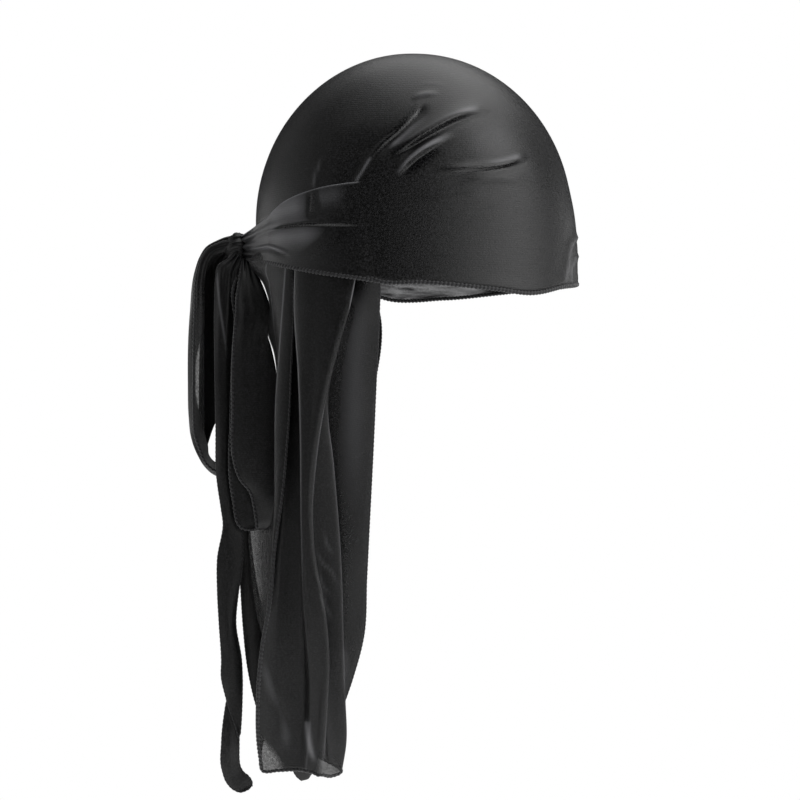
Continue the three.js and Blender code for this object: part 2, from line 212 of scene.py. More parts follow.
@dataclass
class Surface:
    """A grid of points that becomes one mesh.

    closed joins the last column to the first. cap_first and cap_last close the ends
    of a closed grid with one point. uv is in millimetres of cloth. sheer and crest
    hold a number for each point, for the finishes to read: crest is a highlight
    painted on folds, edges and stitches, and below 0 a glossier fold.
    """

    name: str
    points: Array
    closed: bool = False
    cap_first: Array | None = None
    cap_last: Array | None = None
    uv: Array | None = None
    sheer: Array | None = None
    crest: Array | None = None

    def faces(self) -> tuple[Array, list[list[int]]]:
        """Lists the faces.

        Returns:
            The grid's squares as one array, and the end triangles as a list.
        """
        rows, columns = self.points.shape[:2]
        wide = columns if self.closed else columns - 1
        i, j = np.meshgrid(np.arange(rows - 1), np.arange(wide), indexing="ij")
        k = (j + 1) % columns
        here, below = i * columns, (i + 1) * columns
        quads = np.stack([here + j, below + j, below + k, here + k], axis=2)
        ends = []
        first = rows * columns
        step = np.arange(columns)
        after = (step + 1) % columns
        if self.cap_first is not None:
            ends.append(np.stack([np.full(columns, first), step, after], axis=1))
            first += 1
        if self.cap_last is not None:
            base = (rows - 1) * columns
            ends.append(np.stack([np.full(columns, first), base + after, base + step], 1))
        tris = np.concatenate(ends).tolist() if ends else []
        return quads.reshape(-1, 4), tris

    def build(self) -> bpy.types.Object:
        """Makes the mesh, with its UV map and its two attributes.

        Returns:
            The object that holds it.
        """
        points = self.points.reshape(-1, 3)
        extra = [p for p in (self.cap_first, self.cap_last) if p is not None]
        if extra:
            points = np.concatenate([points, np.asarray(extra, float)])
        quads, tris = self.faces()
        mesh = bpy.data.meshes.new(self.name)
        mesh.from_pydata((points * MM).tolist(), [], quads.tolist() + tris)
        mesh.shade_smooth()
        uv = self.uv if self.uv is not None else flat_uv(self.points)
        uv = uv.reshape(-1, 2)
        if extra:
            uv = np.concatenate([uv, np.repeat(uv.mean(0)[None], len(extra), 0)])
        corner = np.zeros(len(mesh.loops), np.int32)
        mesh.loops.foreach_get("vertex_index", corner)
        layer = mesh.uv_layers.new(name="cloth")
        layer.data.foreach_set("uv", (uv[corner] * MM).astype(np.float32).ravel())
        for word, amount in (("sheer", self.sheer), ("crest", self.crest)):
            value = np.zeros(len(points), np.float32)
            if amount is not None:
                value[: amount.size] = amount.ravel()
            mesh.attributes.new(word, "FLOAT", "POINT").data.foreach_set("value", value)
        mesh.update()
        piece = bpy.data.objects.new(self.name, mesh)
        bpy.context.scene.collection.objects.link(piece)
        return piece


def dress(
    surface: Surface,
    slot: Slot,
    *finishes: bpy.types.Material,
    node: str | None = None,
    wall: float = 0.0,
    offset: float = 0.0,
) -> bpy.types.Object:
    """Builds a piece, gives it its wall and its finish, and lets it ride on the one body.

    Args:
        surface: the piece's shape.
        slot: its finish slot. It is not used.
        finishes: its material, and its inner face's if that is another.
        node: the solid that it stands in for.
        wall: the cloth's thickness in millimetres.
        offset: -1 grows the wall inwards from the surface, 0 both ways.

    Returns:
        The piece.
    """
    piece = surface.build()
    for finish in finishes:
        piece.data.materials.append(finish)
    if wall:
        solid = piece.modifiers.new("wall", "SOLIDIFY")
        solid.thickness = wall * MM
        solid.offset = offset
        solid.use_even_offset = False
        solid.use_quality_normals = True
        solid.material_offset = len(finishes) - 1
    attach(piece, "root")
    if node:
        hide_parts(node)
    log.info("%s: %d faces", piece.name, len(piece.data.polygons))
    return piece


# ---- finishes ----


def linear(code: str) -> tuple[float, float, float, float]:
    """Turns a colour to what a socket takes.

    Args:
        code: an sRGB hex colour.

    Returns:
        Linear red, green and blue, and alpha 1.
    """
    srgb = [int(code[i : i + 2], 16) / 255 for i in (1, 3, 5)]
    rgb = [c / 12.92 if c <= 0.04045 else ((c + 0.055) / 1.055) ** 2.4 for c in srgb]
    return (*rgb, 1.0)


def add(
    tree: bpy.types.NodeTree,
    kind: str,
    values: dict[str | int, object] | None = None,
    links: dict[str | int, bpy.types.NodeSocket] | None = None,
    **settings: object,
) -> bpy.types.Node:
    """Adds a node to a material.

    Args:
        tree: the material's nodes.
        kind: the node's type, without the word that all of them start with.
        values: constants, by input name or number.
        links: outputs to join, by input name or number.
        settings: the node's own settings.

    Returns:
        The node.
    """
    node = tree.nodes.new("ShaderNode" + kind)
    for key, value in settings.items():
        setattr(node, key, value)
    for key, value in (values or {}).items():
        node.inputs[key].default_value = value
    for key, socket in (links or {}).items():
        tree.links.new(socket, node.inputs[key])
    return node


def blank(name: str) -> bpy.types.Material:
    """Starts a material.

    Args:
        name: its name.

    Returns:
        A material with no nodes yet.
    """
    made = bpy.data.materials.new(name)
    made.use_nodes = True
    made.node_tree.nodes.clear()
    return made


@dataclass(frozen=True)
class Satin:
    """Filament polyester satin, woven with long floats and dyed black.

    The floats give a soft, broad gloss along the thread and hide the weave from
    afar. One layer is thin enough to let some light through.
    """

    name: str
    colour: str = "#040404"
    lighter: str = "#29292b"
    painted_highlight_colour: str = "#9c9ca0"  # painted highlight: the pale colour that lit fold crests are painted towards
    sheen_colour: str = "#c9c9cc"
    roughness: float = 0.42
    uneven: float = 0.08
    gloss: float = 0.5
    sheen: float = 0.05
    grain_mm: float = 1.1  # a slub is finer, and is drawn as coarse as it needs to show
    rib_mm: float = 1.3  # thread lines, drawn about five threads wide so that they show
    bump: float = 0.6
    relief_mm: float = 0.3
    opacity: float = 0.985
    sheer_opacity: float = 0.3

    def material(self) -> bpy.types.Material:
        """Builds the material's nodes.

        Slubs of noise and thread lines give the relief, the tint and the uneven
        gloss. "crest" paints highlights on pressed folds as a paler colour, or glosses
        them where it is below 0, and "sheer" lets light through in a mottled way.

        Returns:
            The material.
        """
        made = blank(self.name)
        tree = made.node_tree
        place = add(tree, "TexCoord").outputs["Object"]
        cloth = add(tree, "UVMap", uv_map="cloth").outputs["UV"]
        crest = add(tree, "Attribute", attribute_name="crest").outputs["Fac"]
        thin = add(tree, "Attribute", attribute_name="sheer").outputs["Fac"]

        size = {"Scale": 1 / (self.grain_mm * MM), "Detail": 4.0, "Roughness": 0.7}
        slub = add(tree, "TexNoise", size, {"Vector": place}).outputs["Fac"]
        size = {"Scale": WAVE / (self.rib_mm * MM), "Distortion": 0.6, "Detail": 1.0}
        rib = add(tree, "TexWave", size, {"Vector": cloth}, bands_direction="Y").outputs["Fac"]
        relief = add(tree, "Mix", {"Factor": 0.12}, {"A": slub, "B": rib}, data_type="FLOAT")
        deep = {"Strength": self.bump, "Distance": self.relief_mm * MM}
        bump = add(tree, "Bump", deep, {"Height": relief.outputs["Result"]})

        grain = add(tree, "MapRange", {"From Min": 0.45, "From Max": 0.78}, {"Value": slub})
        dyed = {"A": linear(self.colour), "B": linear(self.lighter)}
        tint = add(tree, "Mix", dyed, {"Factor": grain.outputs["Result"]}, data_type="RGBA")
        # Painted highlight: crest mixes the colour towards a pale grey along folds and edges.
        pale, on = {"B": linear(self.painted_highlight_colour)}, {"Factor": crest, "A": tint.outputs["Result"]}
        lit = add(tree, "Mix", pale, on, data_type="RGBA")

        span = {"From Min": 0.35, "From Max": 0.65}
        rough = {"To Min": self.roughness - self.uneven, "To Max": self.roughness + self.uneven}
        uneven = add(tree, "MapRange", span | rough, {"Value": slub}).outputs["Result"]
        drawn = {"From Min": -1.0, "From Max": 0.0, "To Min": -0.2, "To Max": 0.0}
        gloss = add(tree, "MapRange", drawn, {"Value": crest}).outputs["Result"]
        rough = add(tree, "Math", links={0: uneven, 1: gloss}, operation="ADD")

        mottle = add(tree, "MapRange", span | {"To Min": 0.5, "To Max": 1.4}, {"Value": slub})
        both = {0: thin, 1: mottle.outputs["Result"]}
        loose = add(tree, "Math", links=both, operation="MULTIPLY").outputs["Value"]
        ends = {"To Min": self.opacity, "To Max": self.sheer_opacity}
        opacity = add(tree, "MapRange", ends, {"Value": loose})

        shader = add(
            tree,
            "BsdfPrincipled",
            {
                "Specular IOR Level": self.gloss,
                "Sheen Weight": self.sheen,
                "Sheen Roughness": 0.35,
                "Sheen Tint": linear(self.sheen_colour),
                "Metallic": 0.0,
            },
            {
                "Base Color": lit.outputs["Result"],
                "Roughness": rough.outputs["Value"],
                "Normal": bump.outputs["Normal"],
                "Alpha": opacity.outputs["Result"],
            },
        )
        add(tree, "OutputMaterial", links={"Surface": shader.outputs["BSDF"]})
        return made


@dataclass(frozen=True)
class DullBack:
    """The back of the satin, where the short crossings lie: matt, greyer and drier."""

    name: str = "satin_back"
    colour: str = "#101011"
    # painted light: the pale grey of the crease streaks, over the back's own dark grey
    lighter: str = "#747478"
    grain_mm: float = 1.2  # coarser than the real grain, so that it shows
    crease: tuple[float, float, float] = (28.0, 28.0, 170.0)  # creases for each metre
    lean: float = 0.12
    opacity: float = 1.0
    sheer_opacity: float = 0.4

    def material(self) -> bpy.types.Material:
        """Builds the material's nodes: noise drawn out level into soft creases, painted as pale streaks of
        light.

        Returns:
            The material.
        """
        made = blank(self.name)
        tree = made.node_tree
        place = add(tree, "TexCoord").outputs["Object"]
        thin = add(tree, "Attribute", attribute_name="sheer").outputs["Fac"]
        size = {"Scale": 1 / (self.grain_mm * MM), "Detail": 3.0, "Roughness": 0.65}
        slub = add(tree, "TexNoise", size, {"Vector": place}).outputs["Fac"]
        bump = add(tree, "Bump", {"Strength": 0.2, "Distance": 0.3 * MM}, {"Height": slub})
        turned = {"Scale": self.crease, "Rotation": (0.0, self.lean, 0.0)}
        stretch = add(tree, "Mapping", turned, {"Vector": place}).outputs["Vector"]
        size = {"Scale": 1.0, "Detail": 2.0, "Roughness": 0.6, "Distortion": 0.5}
        crease = add(tree, "TexNoise", size, {"Vector": stretch}).outputs["Fac"]
        span = {"From Min": 0.36, "From Max": 0.6}
        drawn = add(tree, "MapRange", span, {"Value": crease}).outputs["Result"]
        dyed = {"A": linear(self.colour), "B": linear(self.lighter)}
        tint = add(tree, "Mix", dyed, {"Factor": drawn}, data_type="RGBA")
        shown = add(tree, "Math", links={0: thin, 1: drawn}, operation="MULTIPLY")
        ends = {"To Min": self.opacity, "To Max": self.sheer_opacity}
        opacity = add(tree, "MapRange", ends, {"Value": shown.outputs["Value"]})
        shader = add(
            tree,
            "BsdfPrincipled",
            {"Roughness": 0.75, "Specular IOR Level": 0.25, "Sheen Weight": 0.3},
            {
                "Base Color": tint.outputs["Result"],
                "Normal": bump.outputs["Normal"],
                "Alpha": opacity.outputs["Result"],
            },
        )
        add(tree, "OutputMaterial", links={"Surface": shader.outputs["BSDF"]})
        return made


@dataclass(frozen=True)
class OverlockThread:
    """Black textured nylon, wrapped over the cut edge in tight loops: matt and a little greyer."""

    name: str = "overlock_thread"
    colour: str = "#060606"
    # paler fuzz, painted in as a highlight on top of each loop
    lighter: str = "#2c2c2f"
    fuzz_mm: float = 0.7  # filaments are finer, and are drawn in tufts that show

    def material(self) -> bpy.types.Material:
        """Builds the material's nodes: fuzz of noise, with a highlight painted on top of each loop.

        Returns:
            The material.
        """
        made = blank(self.name)
        tree = made.node_tree
        place = add(tree, "TexCoord").outputs["Object"]
        loop_highlight = add(tree, "Attribute", attribute_name="crest").outputs["Fac"]
        size = {"Scale": 1 / (self.fuzz_mm * MM), "Detail": 2.0}
        fuzz = add(tree, "TexNoise", size, {"Vector": place}).outputs["Fac"]
        # Random fuzz shown only within a highlight painted on the loop tops.
        loops = add(tree, "Math", links={0: fuzz, 1: loop_highlight}, operation="MULTIPLY").outputs["Value"]
        dyed = {"A": linear(self.colour), "B": linear(self.lighter)}
        tint = add(tree, "Mix", dyed, {"Factor": loops}, data_type="RGBA").outputs["Result"]
        matt = {"Roughness": 0.55, "Specular IOR Level": 0.4, "Sheen Weight": 0.3}
        shader = add(tree, "BsdfPrincipled", matt, {"Base Color": tint})
        add(tree, "OutputMaterial", links={"Surface": shader.outputs["BSDF"]})
        return made


# ---- the head's form ----


@dataclass(frozen=True)
class HeadForm:
    """The surface that the cap, the straps and the tail's top lie on.

    In plan it is a superellipse, and down from its top it is a quarter ellipse and
    then upright. The forehead band stands a little in front of it.
    """

    wall: float = 1.2
    half_length: float = 98.5
    half_breadth: float = 76.0
    length_rise: float = 105.0
    breadth_rise: float = 92.0
    plan_power: float = 2.15
    back_swell: float = 0.04
    brow: float = 3.4
    brow_from: float = 80.0
    brow_to: float = 125.0

    def face(self, azimuth: Array, z: Array) -> Array:
        """Reads the cap's outer face.

        x and y are half axes times cos and sin to the power 2 / plan_power, times
        how far out the dome is at that height.

        Args:
            azimuth: degrees round from the forehead, to the left.
            z: height.

        Returns:
            Points of the face.
        """
        azimuth, z = np.broadcast_arrays(np.asarray(azimuth, float), np.asarray(z, float))
        drop = self.wall - z
        c, s = np.cos(np.radians(azimuth)), np.sin(np.radians(azimuth))
        along, across = (np.sign(v) * np.abs(v) ** (2 / self.plan_power) for v in (c, s))
        brow = self.brow * smooth(self.brow_from, self.brow_to, drop)
        x = self.half_length * self.share(drop, self.length_rise) * along
        y = self.half_breadth * (1 - self.back_swell * c)
        y = y * self.share(drop, self.breadth_rise) * across
        return points_of(x + brow * np.maximum(c, 0) ** 3, y, z)

    @staticmethod
    def share(drop: Array, rise: float) -> Array:
        """How far out the dome is at a drop below its top: sqrt(1 - (1 - drop / rise)^2)."""
        left = np.clip((rise - drop) / rise, 0.0, 1.0)
        return np.sqrt(np.clip(1 - left**2, 0.0, 1.0))

    def normal(self, azimuth: Array, z: Array) -> Array:
        """Finds the face's outward direction from two short steps on it.

        Args:
            azimuth: degrees round from the forehead, to the left.
            z: height.

        Returns:
            Directions of length one.
        """
        step = 0.4
        low = np.minimum(z, self.wall - 2 * step)
        around = self.face(azimuth + step, low) - self.face(azimuth - step, low)
        up = self.face(azimuth, low + step) - self.face(azimuth, low - step)
        return unit(np.cross(around, up))

    def lifted(self, azimuth: Array, z: Array, lift: Array | float) -> Array:
        """Moves the face outwards.

        Args:
            azimuth: degrees round from the forehead, to the left.
            z: height.
            lift: how far, in millimetres.

        Returns:
            Points of the moved face.
        """
        azimuth, z = np.broadcast_arrays(np.asarray(azimuth, float), np.asarray(z, float))
        lift = np.broadcast_to(np.asarray(lift, float), z.shape)
        return self.face(azimuth, z) + self.normal(azimuth, z) * lift[..., None]


HEAD = HeadForm()


@dataclass(frozen=True)
class Fold:
    """A fold in the cloth along a line seen from the wearer's side, from its back end forwards.

    Across the line the cloth swells to a crest over the width above, falls over the
    edge's width below the line to a hollow, and comes back over the width below:
    rise * exp(-(d / above)^2) above it, and under it
    rise * e - drop * (1 - e) * exp(-(d / below)^2) with e = exp(-(d / edge)^2). The
    widths are fan times as large at the line's start, and the fold swells and fades
    over the first and last shares of its length. Light makes the crest paler within
    the width glow, and light below 0 makes it glossier.
    """

    name: str
    path: Rows  # x, z
    rise: float = 0.0
    above: float = 1.0
    edge: float = 1.0
    drop: float = 0.0
    below: float = 4.0
    fan: float = 1.0
    swell: float = 0.3
    fade: float = 0.3
    # above 0, a highlight painted along the crest; below 0, a glossier crest
    light: float = 0.0
    glow: float = 1.0

    def shape(self, x: Array, z: Array) -> tuple[Array, Array]:
        """Works the fold out by each point's nearest place on its line.

        Args:
            x: how far forward the points are.
            z: their heights.

        Returns:
            Height of the fold in millimetres, and the light on its crest.
        """
        rows = np.asarray(self.path, float)
        keys = lengths(rows)
        t = np.linspace(0, 1, 40)
        line = through(keys, rows, t * keys[-1])
        start, leg = line[:-1], np.diff(line, axis=0)
        spot = np.stack([x.ravel(), z.ravel()], axis=1)[:, None] - start[None]
        part = np.clip((spot * leg).sum(2) / (leg**2).sum(1), 0, 1)
        away = spot - part[..., None] * leg
        nearest = np.argmin((away**2).sum(2), axis=1)
        pick = np.arange(len(nearest))
        gap, way = away[pick, nearest], unit(leg)[nearest]
        share = (nearest + part[pick, nearest]) / (len(t) - 1)
        side = way[:, 0] * gap[:, 1] - way[:, 1] * gap[:, 0]
        distance = np.linalg.norm(gap, axis=1) / (self.fan + (1 - self.fan) * share)
        crest = bell(distance, self.edge)
        under = self.rise * crest - self.drop * (1 - crest) * bell(distance, self.below)
        over = self.rise * bell(distance, self.above)
        window = smooth(0, self.swell, share) * smooth(1, 1 - self.fade, share)
        height = window * np.where(side > 0, over, under)
        glint = self.light * window * bell(distance, self.glow)
        return height.reshape(x.shape), glint.reshape(x.shape)


def fold_shape(points: Array, folds: tuple[Fold, ...]) -> tuple[Array, Array]:
    """Adds folds up, the same but weaker on the wearer's left.

    Args:
        points: points of the cloth.
        folds: the folds that lie on it.

    Returns:
        How far each point is lifted, and the light on it.
    """
    shapes = [fold.shape(points[..., 0], points[..., 2]) for fold in folds]
    right = smooth(1.5, -1.5, points[..., 1])
    rise, light = (sum(s[k] for s in shapes) for k in (0, 1))
    return (0.8 + 0.2 * right) * rise, (0.3 + 0.7 * right) * light


# Folds on the side of the head, which the cap and the strap's start share. Light above 0
# paints a highlight along a fold, and a fold with no rise or drop is only that painted
# highlight, or a glossier line where its light is below 0.
TEMPLE_FOLDS = (
    Fold("seam tuck", (
        (-34, -87), (-25, -71.5), (-18.5, -64.5), (-10, -57), (-2.5, -48.5), (5.5, -38)),
        edge=2.4, drop=2.3, below=5, fan=0.7, swell=0.6, fade=0.15),
    Fold("seam shade", (
        (-27.5, -75.5), (-18.5, -64.5), (-10, -57), (-3, -49), (4.5, -39.5)),
        fan=0.4, swell=0.4, fade=0.12, light=-1.5, glow=3.9),
    Fold("seam line", (
        (-34.5, -87.5), (-29.5, -79.5), (-25, -72), (-21.5, -67.5)),
        swell=0.02, fade=0.5, light=0.4, glow=0.65),
    Fold("seam arch", (
        (-3, -38), (2, -35.5), (7, -34), (15.5, -33)),
        rise=0.9, above=1.8, edge=1.6, drop=0.3, below=3, swell=0.4, fade=0.5, light=0.16, glow=1.3),
    Fold("tuck face", (
        (-16.5, -69), (-10.5, -63), (-4, -55.5), (3, -46.5), (10, -40.5)),
        fan=0.3, swell=0.2, fade=0.55, light=0.46, glow=5.2),
    Fold("upper crease", (
        (-16, -72.5), (-7.5, -68), (8.5, -58), (22, -50), (37, -44), (47, -42)),
        rise=2.9, above=6.8, edge=1.9, drop=1.6, below=4.8, fan=0.75, fade=0.35),
    Fold("upper lip", (
        (-13.5, -70.5), (-7, -66.5), (9.5, -56.5), (23.5, -48), (39.5, -41.5)),
        swell=0.25, fade=0.15, light=0.34, glow=2),
    Fold("upper shade", (
        (-15, -72.5), (-7.5, -69), (8.5, -59), (22, -51), (38.5, -45)),
        fan=1.3, swell=0.1, fade=0.4, light=-1.3, glow=1.7),
    Fold("long ridge", (
        (-11.5, -84.5), (-6, -78), (0.5, -72), (7.5, -67), (23.5, -58)),
        rise=2.4, above=3.6, edge=2, drop=0.8, below=5, fan=0.7, swell=0.25, fade=0.5, light=0.75, glow=1.8),
    Fold("ridge shade", (
        (-8, -85.5), (-2.5, -79.5), (4.5, -74), (12, -69.5), (20.5, -66.5)),
        fade=0.5, light=-1.2, glow=3.6),
    Fold("brow crease", (
        (9, -82), (20, -81), (43.5, -78), (54, -75.5), (62, -72), (67.5, -69.5)),
        rise=1.6, above=4.2, edge=1.7, drop=1, below=4.2, fan=0.7, swell=0.35, fade=0.16),
    Fold("brow lip", (
        (38, -76.5), (48, -75), (56.5, -72.5), (64.5, -69)),
        swell=0.5, fade=0.25, light=0.3, glow=1.8),
    Fold("brow shade", (
        (10.5, -82.5), (20, -81.5), (43.5, -79), (54, -76.5), (62.5, -73)),
        swell=0.4, fade=0.2, light=-1.4, glow=1.5),
    Fold("temple sheen", (
        (27.5, -64.5), (44, -60.5), (62.5, -56.5)),
        swell=0.4, fade=0.4, light=0.06, glow=10),
    Fold("brow ridge", (
        (23, -89.5), (43.5, -85), (69.5, -84.5)),
        rise=0.8, above=4.5, edge=3, drop=0.3, swell=0.4, fade=0.4),
    Fold("top ripple", (
        (0, -27.5), (9.5, -26.5), (20, -28)),
        rise=0.16, above=1.2, edge=0.7, drop=0.06, below=2, swell=0.4, fade=0.4, light=0.06, glow=0.9),
    Fold("band drag", (
        (-4, -96.5), (23, -98), (52.5, -95.5)),
        rise=0.5, above=5, edge=3.5, drop=0.35, below=6, swell=0.4, fade=0.4),
)

# The cap's folds: the temple folds, and three more with painted highlights.
CAP_FOLDS = (
    *TEMPLE_FOLDS,
    Fold("dome pleat", (
        (-60, -90), (-59, -83.5), (-56.5, -76), (-54, -69.5)),
        rise=0.3, edge=2.2, drop=0.2, below=5, swell=0.1, fade=0.5, light=0.17, glow=0.85),
    Fold("brow gather", (
        (90, -143), (93, -132), (95, -122), (102, -111)),
        rise=1.1, above=3, edge=1.2, drop=0.6, below=2.5, swell=0.1, fade=0.1, light=0.16),
    Fold("brow gather low", (
        (95, -143), (96, -133), (103, -124)),
        rise=1, above=1.6, edge=0.8, drop=0.3, below=2, swell=0.1, fade=0.1, light=0.16),
)

# Folds of the strap on the head; light above 0 is a highlight painted along them.
STRAP_FOLDS = (
    Fold("middle crease", (
        (-92.5, -111.5), (-71, -110), (-60, -110.5), (-40.5, -111.5), (-17.5, -113)),
        rise=0.6, above=4, edge=1.2, drop=1, below=3.5, swell=0.2, fade=0.5),
    Fold("middle shade", (
        (-86.5, -112), (-71, -111), (-60, -111), (-40.5, -112.5), (-17.5, -113.5)),
        swell=0.2, fade=0.6, light=-1.2, glow=1.1),
    Fold("hem lens", (
        (-104, -121), (-97.5, -119.5), (-91, -121), (-85.5, -122.5), (-79.5, -125), (-72, -129)),
        rise=0.9, above=1.2, edge=0.8, drop=1, below=2.6, swell=0.15, light=0.3, glow=0.9),
    Fold("upper soft", (
        (-92.5, -104), (-77, -99.5), (-60, -99)),
        rise=0.7, above=5, edge=4, drop=0.3, fade=0.35, light=0.42, glow=8.5),
    Fold("upper patch", (
        (-56.5, -96), (-47.5, -94.5), (-37.5, -94.5)),
        rise=0.4, above=3, edge=4, drop=0.2, swell=0.15, fade=0.6, light=0.15, glow=5.5),
    Fold("pleat shade", (
        (-59.5, -91.5), (-60, -100.5), (-61, -109.5)),
        drop=0.5, below=2, swell=0.2, fade=0.4, light=-1.2, glow=2),
    Fold("lower patch", (
        (-92.5, -116.5), (-79, -116.5), (-64.5, -116), (-49.5, -115)),
        rise=0.4, above=4, edge=4, drop=0.3, fade=0.4, light=0.38, glow=7),
    Fold("lower shade", (
        (-35.5, -115), (-47, -121.5), (-59, -130.5), (-64, -136)),
        light=-0.6, glow=4.5),
    Fold("gather high", (
        (-105, -112), (-92.5, -110.5), (-79, -109)),
        rise=0.7, above=1.8, edge=1.2, drop=0.5, below=2.5, swell=0.2, fade=0.6, light=0.12),
)

# Small wrinkles in the tail, each with a faint painted highlight.
WRINKLES = tuple(
    Fold(
        f"wrinkle {word}", path, rise=0.35, above=1.2, edge=0.8, drop=0.2, below=2,
        light=light, swell=0.4, fade=0.4, glow=0.9,
    )
    for word, light, path in (
        ("one", 0.1, ((-54.5, -290.5), (-50.5, -302.5), (-46, -307))),
        ("two", 0.1, ((-59, -300.5), (-55, -310.5), (-49, -316.5), (-45, -327.5))),
        ("three", 0.11, ((-58, -312.5), (-54.5, -324.5), (-48.5, -333))),
        ("four", 0.1, ((-56, -324.5), (-53.5, -335), (-49.5, -343.5), (-46, -347.5))),
    )
)

# Folds of the tail's front half; light above 0 is a painted highlight, below 0 a glossier patch.
TAIL_FOLDS = (
    Fold("panel sheen", (
        (-32, -144), (-34, -167), (-36, -190.5), (-37, -256.5), (-38.5, -298)),
        swell=0.15, fade=0.5, light=0.1, glow=6.5),
    Fold("pleat shade high", (
        (-37, -155), (-42.5, -173), (-47.5, -192), (-49.5, -211.5), (-48, -238)),
        swell=0.15, fade=0.4, light=-0.5, glow=3),
    *WRINKLES,
    Fold("hem drape", (
        (-91, -364.5), (-88, -379.5), (-84, -392), (-79.5, -401.5), (-76.5, -428)),
        rise=0.6, above=2.4, edge=2.4, drop=0.3, fade=0.2, light=0.12, glow=2.6),
    Fold("turned edge", (
        (-64.5, -404.5), (-63.5, -415), (-62, -423), (-58.5, -432)),
        fan=1.3, swell=0.1, fade=0.35, light=0.5, glow=1.4),
    Fold("corner roll", (
        (-43, -359), (-41.5, -374), (-42, -390.5)),
        swell=0.4, fade=0.4, light=0.1, glow=1.8),
    Fold("dark fall", (
        (-78, -300.5), (-76.5, -339), (-73, -375), (-70, -416.5)),
        swell=0.2, fade=0.2, light=-0.35, glow=8.5),
)

LOOP_FOLDS = (
    Fold("loop hollow", (
        (-130, -128.5), (-134.5, -152), (-136.4, -177), (-137, -202)),
        light=-0.9, glow=5),
)

# A rolled ridge on the long end, with a painted highlight along it.
END_FOLDS = (
    Fold("rolled ridge", (
        (-122.5, -129), (-120.5, -146.5), (-119, -159), (-116.5, -176), (-114.5, -192)),
        rise=0.4, above=1.2, edge=0.8, drop=0.3, below=2, swell=0.08, fade=0.4, light=0.3, glow=0.7),
)

# Height of the cap's lower edge, by degrees round, negative on the wearer's right.
RIM = Curve((
    (-180, -120), (-150, -126), (-125, -132), (-112, -137), (-104, -143), (-101, -145),
    (-88, -145.8), (-62, -149.4), (-50, -151), (-28, -145.5), (-12, -142.6), (0, -142),
    (30, -141.5), (56, -143), (79, -146), (101, -145), (104, -143), (112, -137),
    (125, -132), (150, -126), (180, -120),
))

# Degrees round where the forehead band passes into the strap, by height.
SEAM = Curve((
    (-150, 101), (-96, 107.5), (-88, 109), (-71, 104), (-63.5, 100.4), (-56.7, 95.5),
    (-48, 91.5), (-36, 86),
))

# Heights of the strap's hem and of its top edge, by degrees round.
STRAP_EDGES = Curve((
    (92, -146, -84), (101, -145, -86.5), (108, -143.2, -87.4), (125, -138.8, -90.5),
    (140, -134.5, -96.5), (151, -131.5, -104),
))


# ---- stitched edges ----


@dataclass(frozen=True)
class Overlock:
    """A stitched edge as a cord of thread loops.

    Its section is an ellipse, and the radius swells by |sin| once for each stitch,
    turning with the angle so that the loops lean like the threads of an overlock.
    """

    width: float  # half width of the cord, in the cloth's plane
    thick: float  # half thickness of the cord
    stitch: float = 2.6
    grow: tuple[float, float] = (1.0, 1.0)  # the cord's size at its start and at its end
    rings: int = 8  # for each stitch
    sides: int = 10
    bare: float = 0.62  # the radius between loops, as a share of the width
    swell: float = 0.48
    pale: float = 1.6  # highlight painted on top of each loop

    def along(self, name: str, path: Array, out: Array) -> Surface:
        """Carries the section along an edge.

        Args:
            name: the piece's name.
            path: points of the edge, in millimetres.
            out: the cloth's face direction at those points.

        Returns:
            A closed cord with its ends capped.
        """
        run = lengths(path)
        count = max(int(run[-1] / self.stitch * self.rings), 12)
        at = np.linspace(0, run[-1], count)
        middle, face = through(run, path, at), unit(through(run, out, at))
        side = unit(np.cross(face, unit(np.gradient(middle, axis=0))))
        turn = np.linspace(0, 2 * np.pi, self.sides, endpoint=False)[None, :, None]
        loop = np.abs(np.sin(np.pi * at[:, None, None] / self.stitch + turn / 2)) ** 0.8
        ring = side[:, None] * np.cos(turn) * self.width + face[:, None] * np.sin(turn) * self.thick
        size = (self.bare + self.swell * loop) * np.linspace(*self.grow, count)[:, None, None]
        points = middle[:, None] + ring * size
        # A highlight painted on top of each loop, read by the thread's finish as crest.
        paler = loop[..., 0] ** 2 * self.pale
        return Surface(name, points, True, middle[0], middle[-1], crest=paler)


# ---- pieces ----


@dataclass
class Kit:
    """The finishes, built once and shared."""

    crown: bpy.types.Material
    strap: bpy.types.Material
    knot: bpy.types.Material
    tail: bpy.types.Material
    back: bpy.types.Material
    thread: bpy.types.Material

    @classmethod
    def make(cls) -> "Kit":
        """Builds every finish.
        """
        return cls(
            crown=Satin("satin_crown").material(),
            strap=Satin("satin_strap").material(),
            knot=Satin("satin_knot").material(),
            # One loose layer is duller and more uneven than cloth drawn tight.
            tail=Satin("satin_tail", gloss=0.44, bump=1.0).material(),
            back=DullBack().material(),
            thread=OverlockThread().material(),
        )


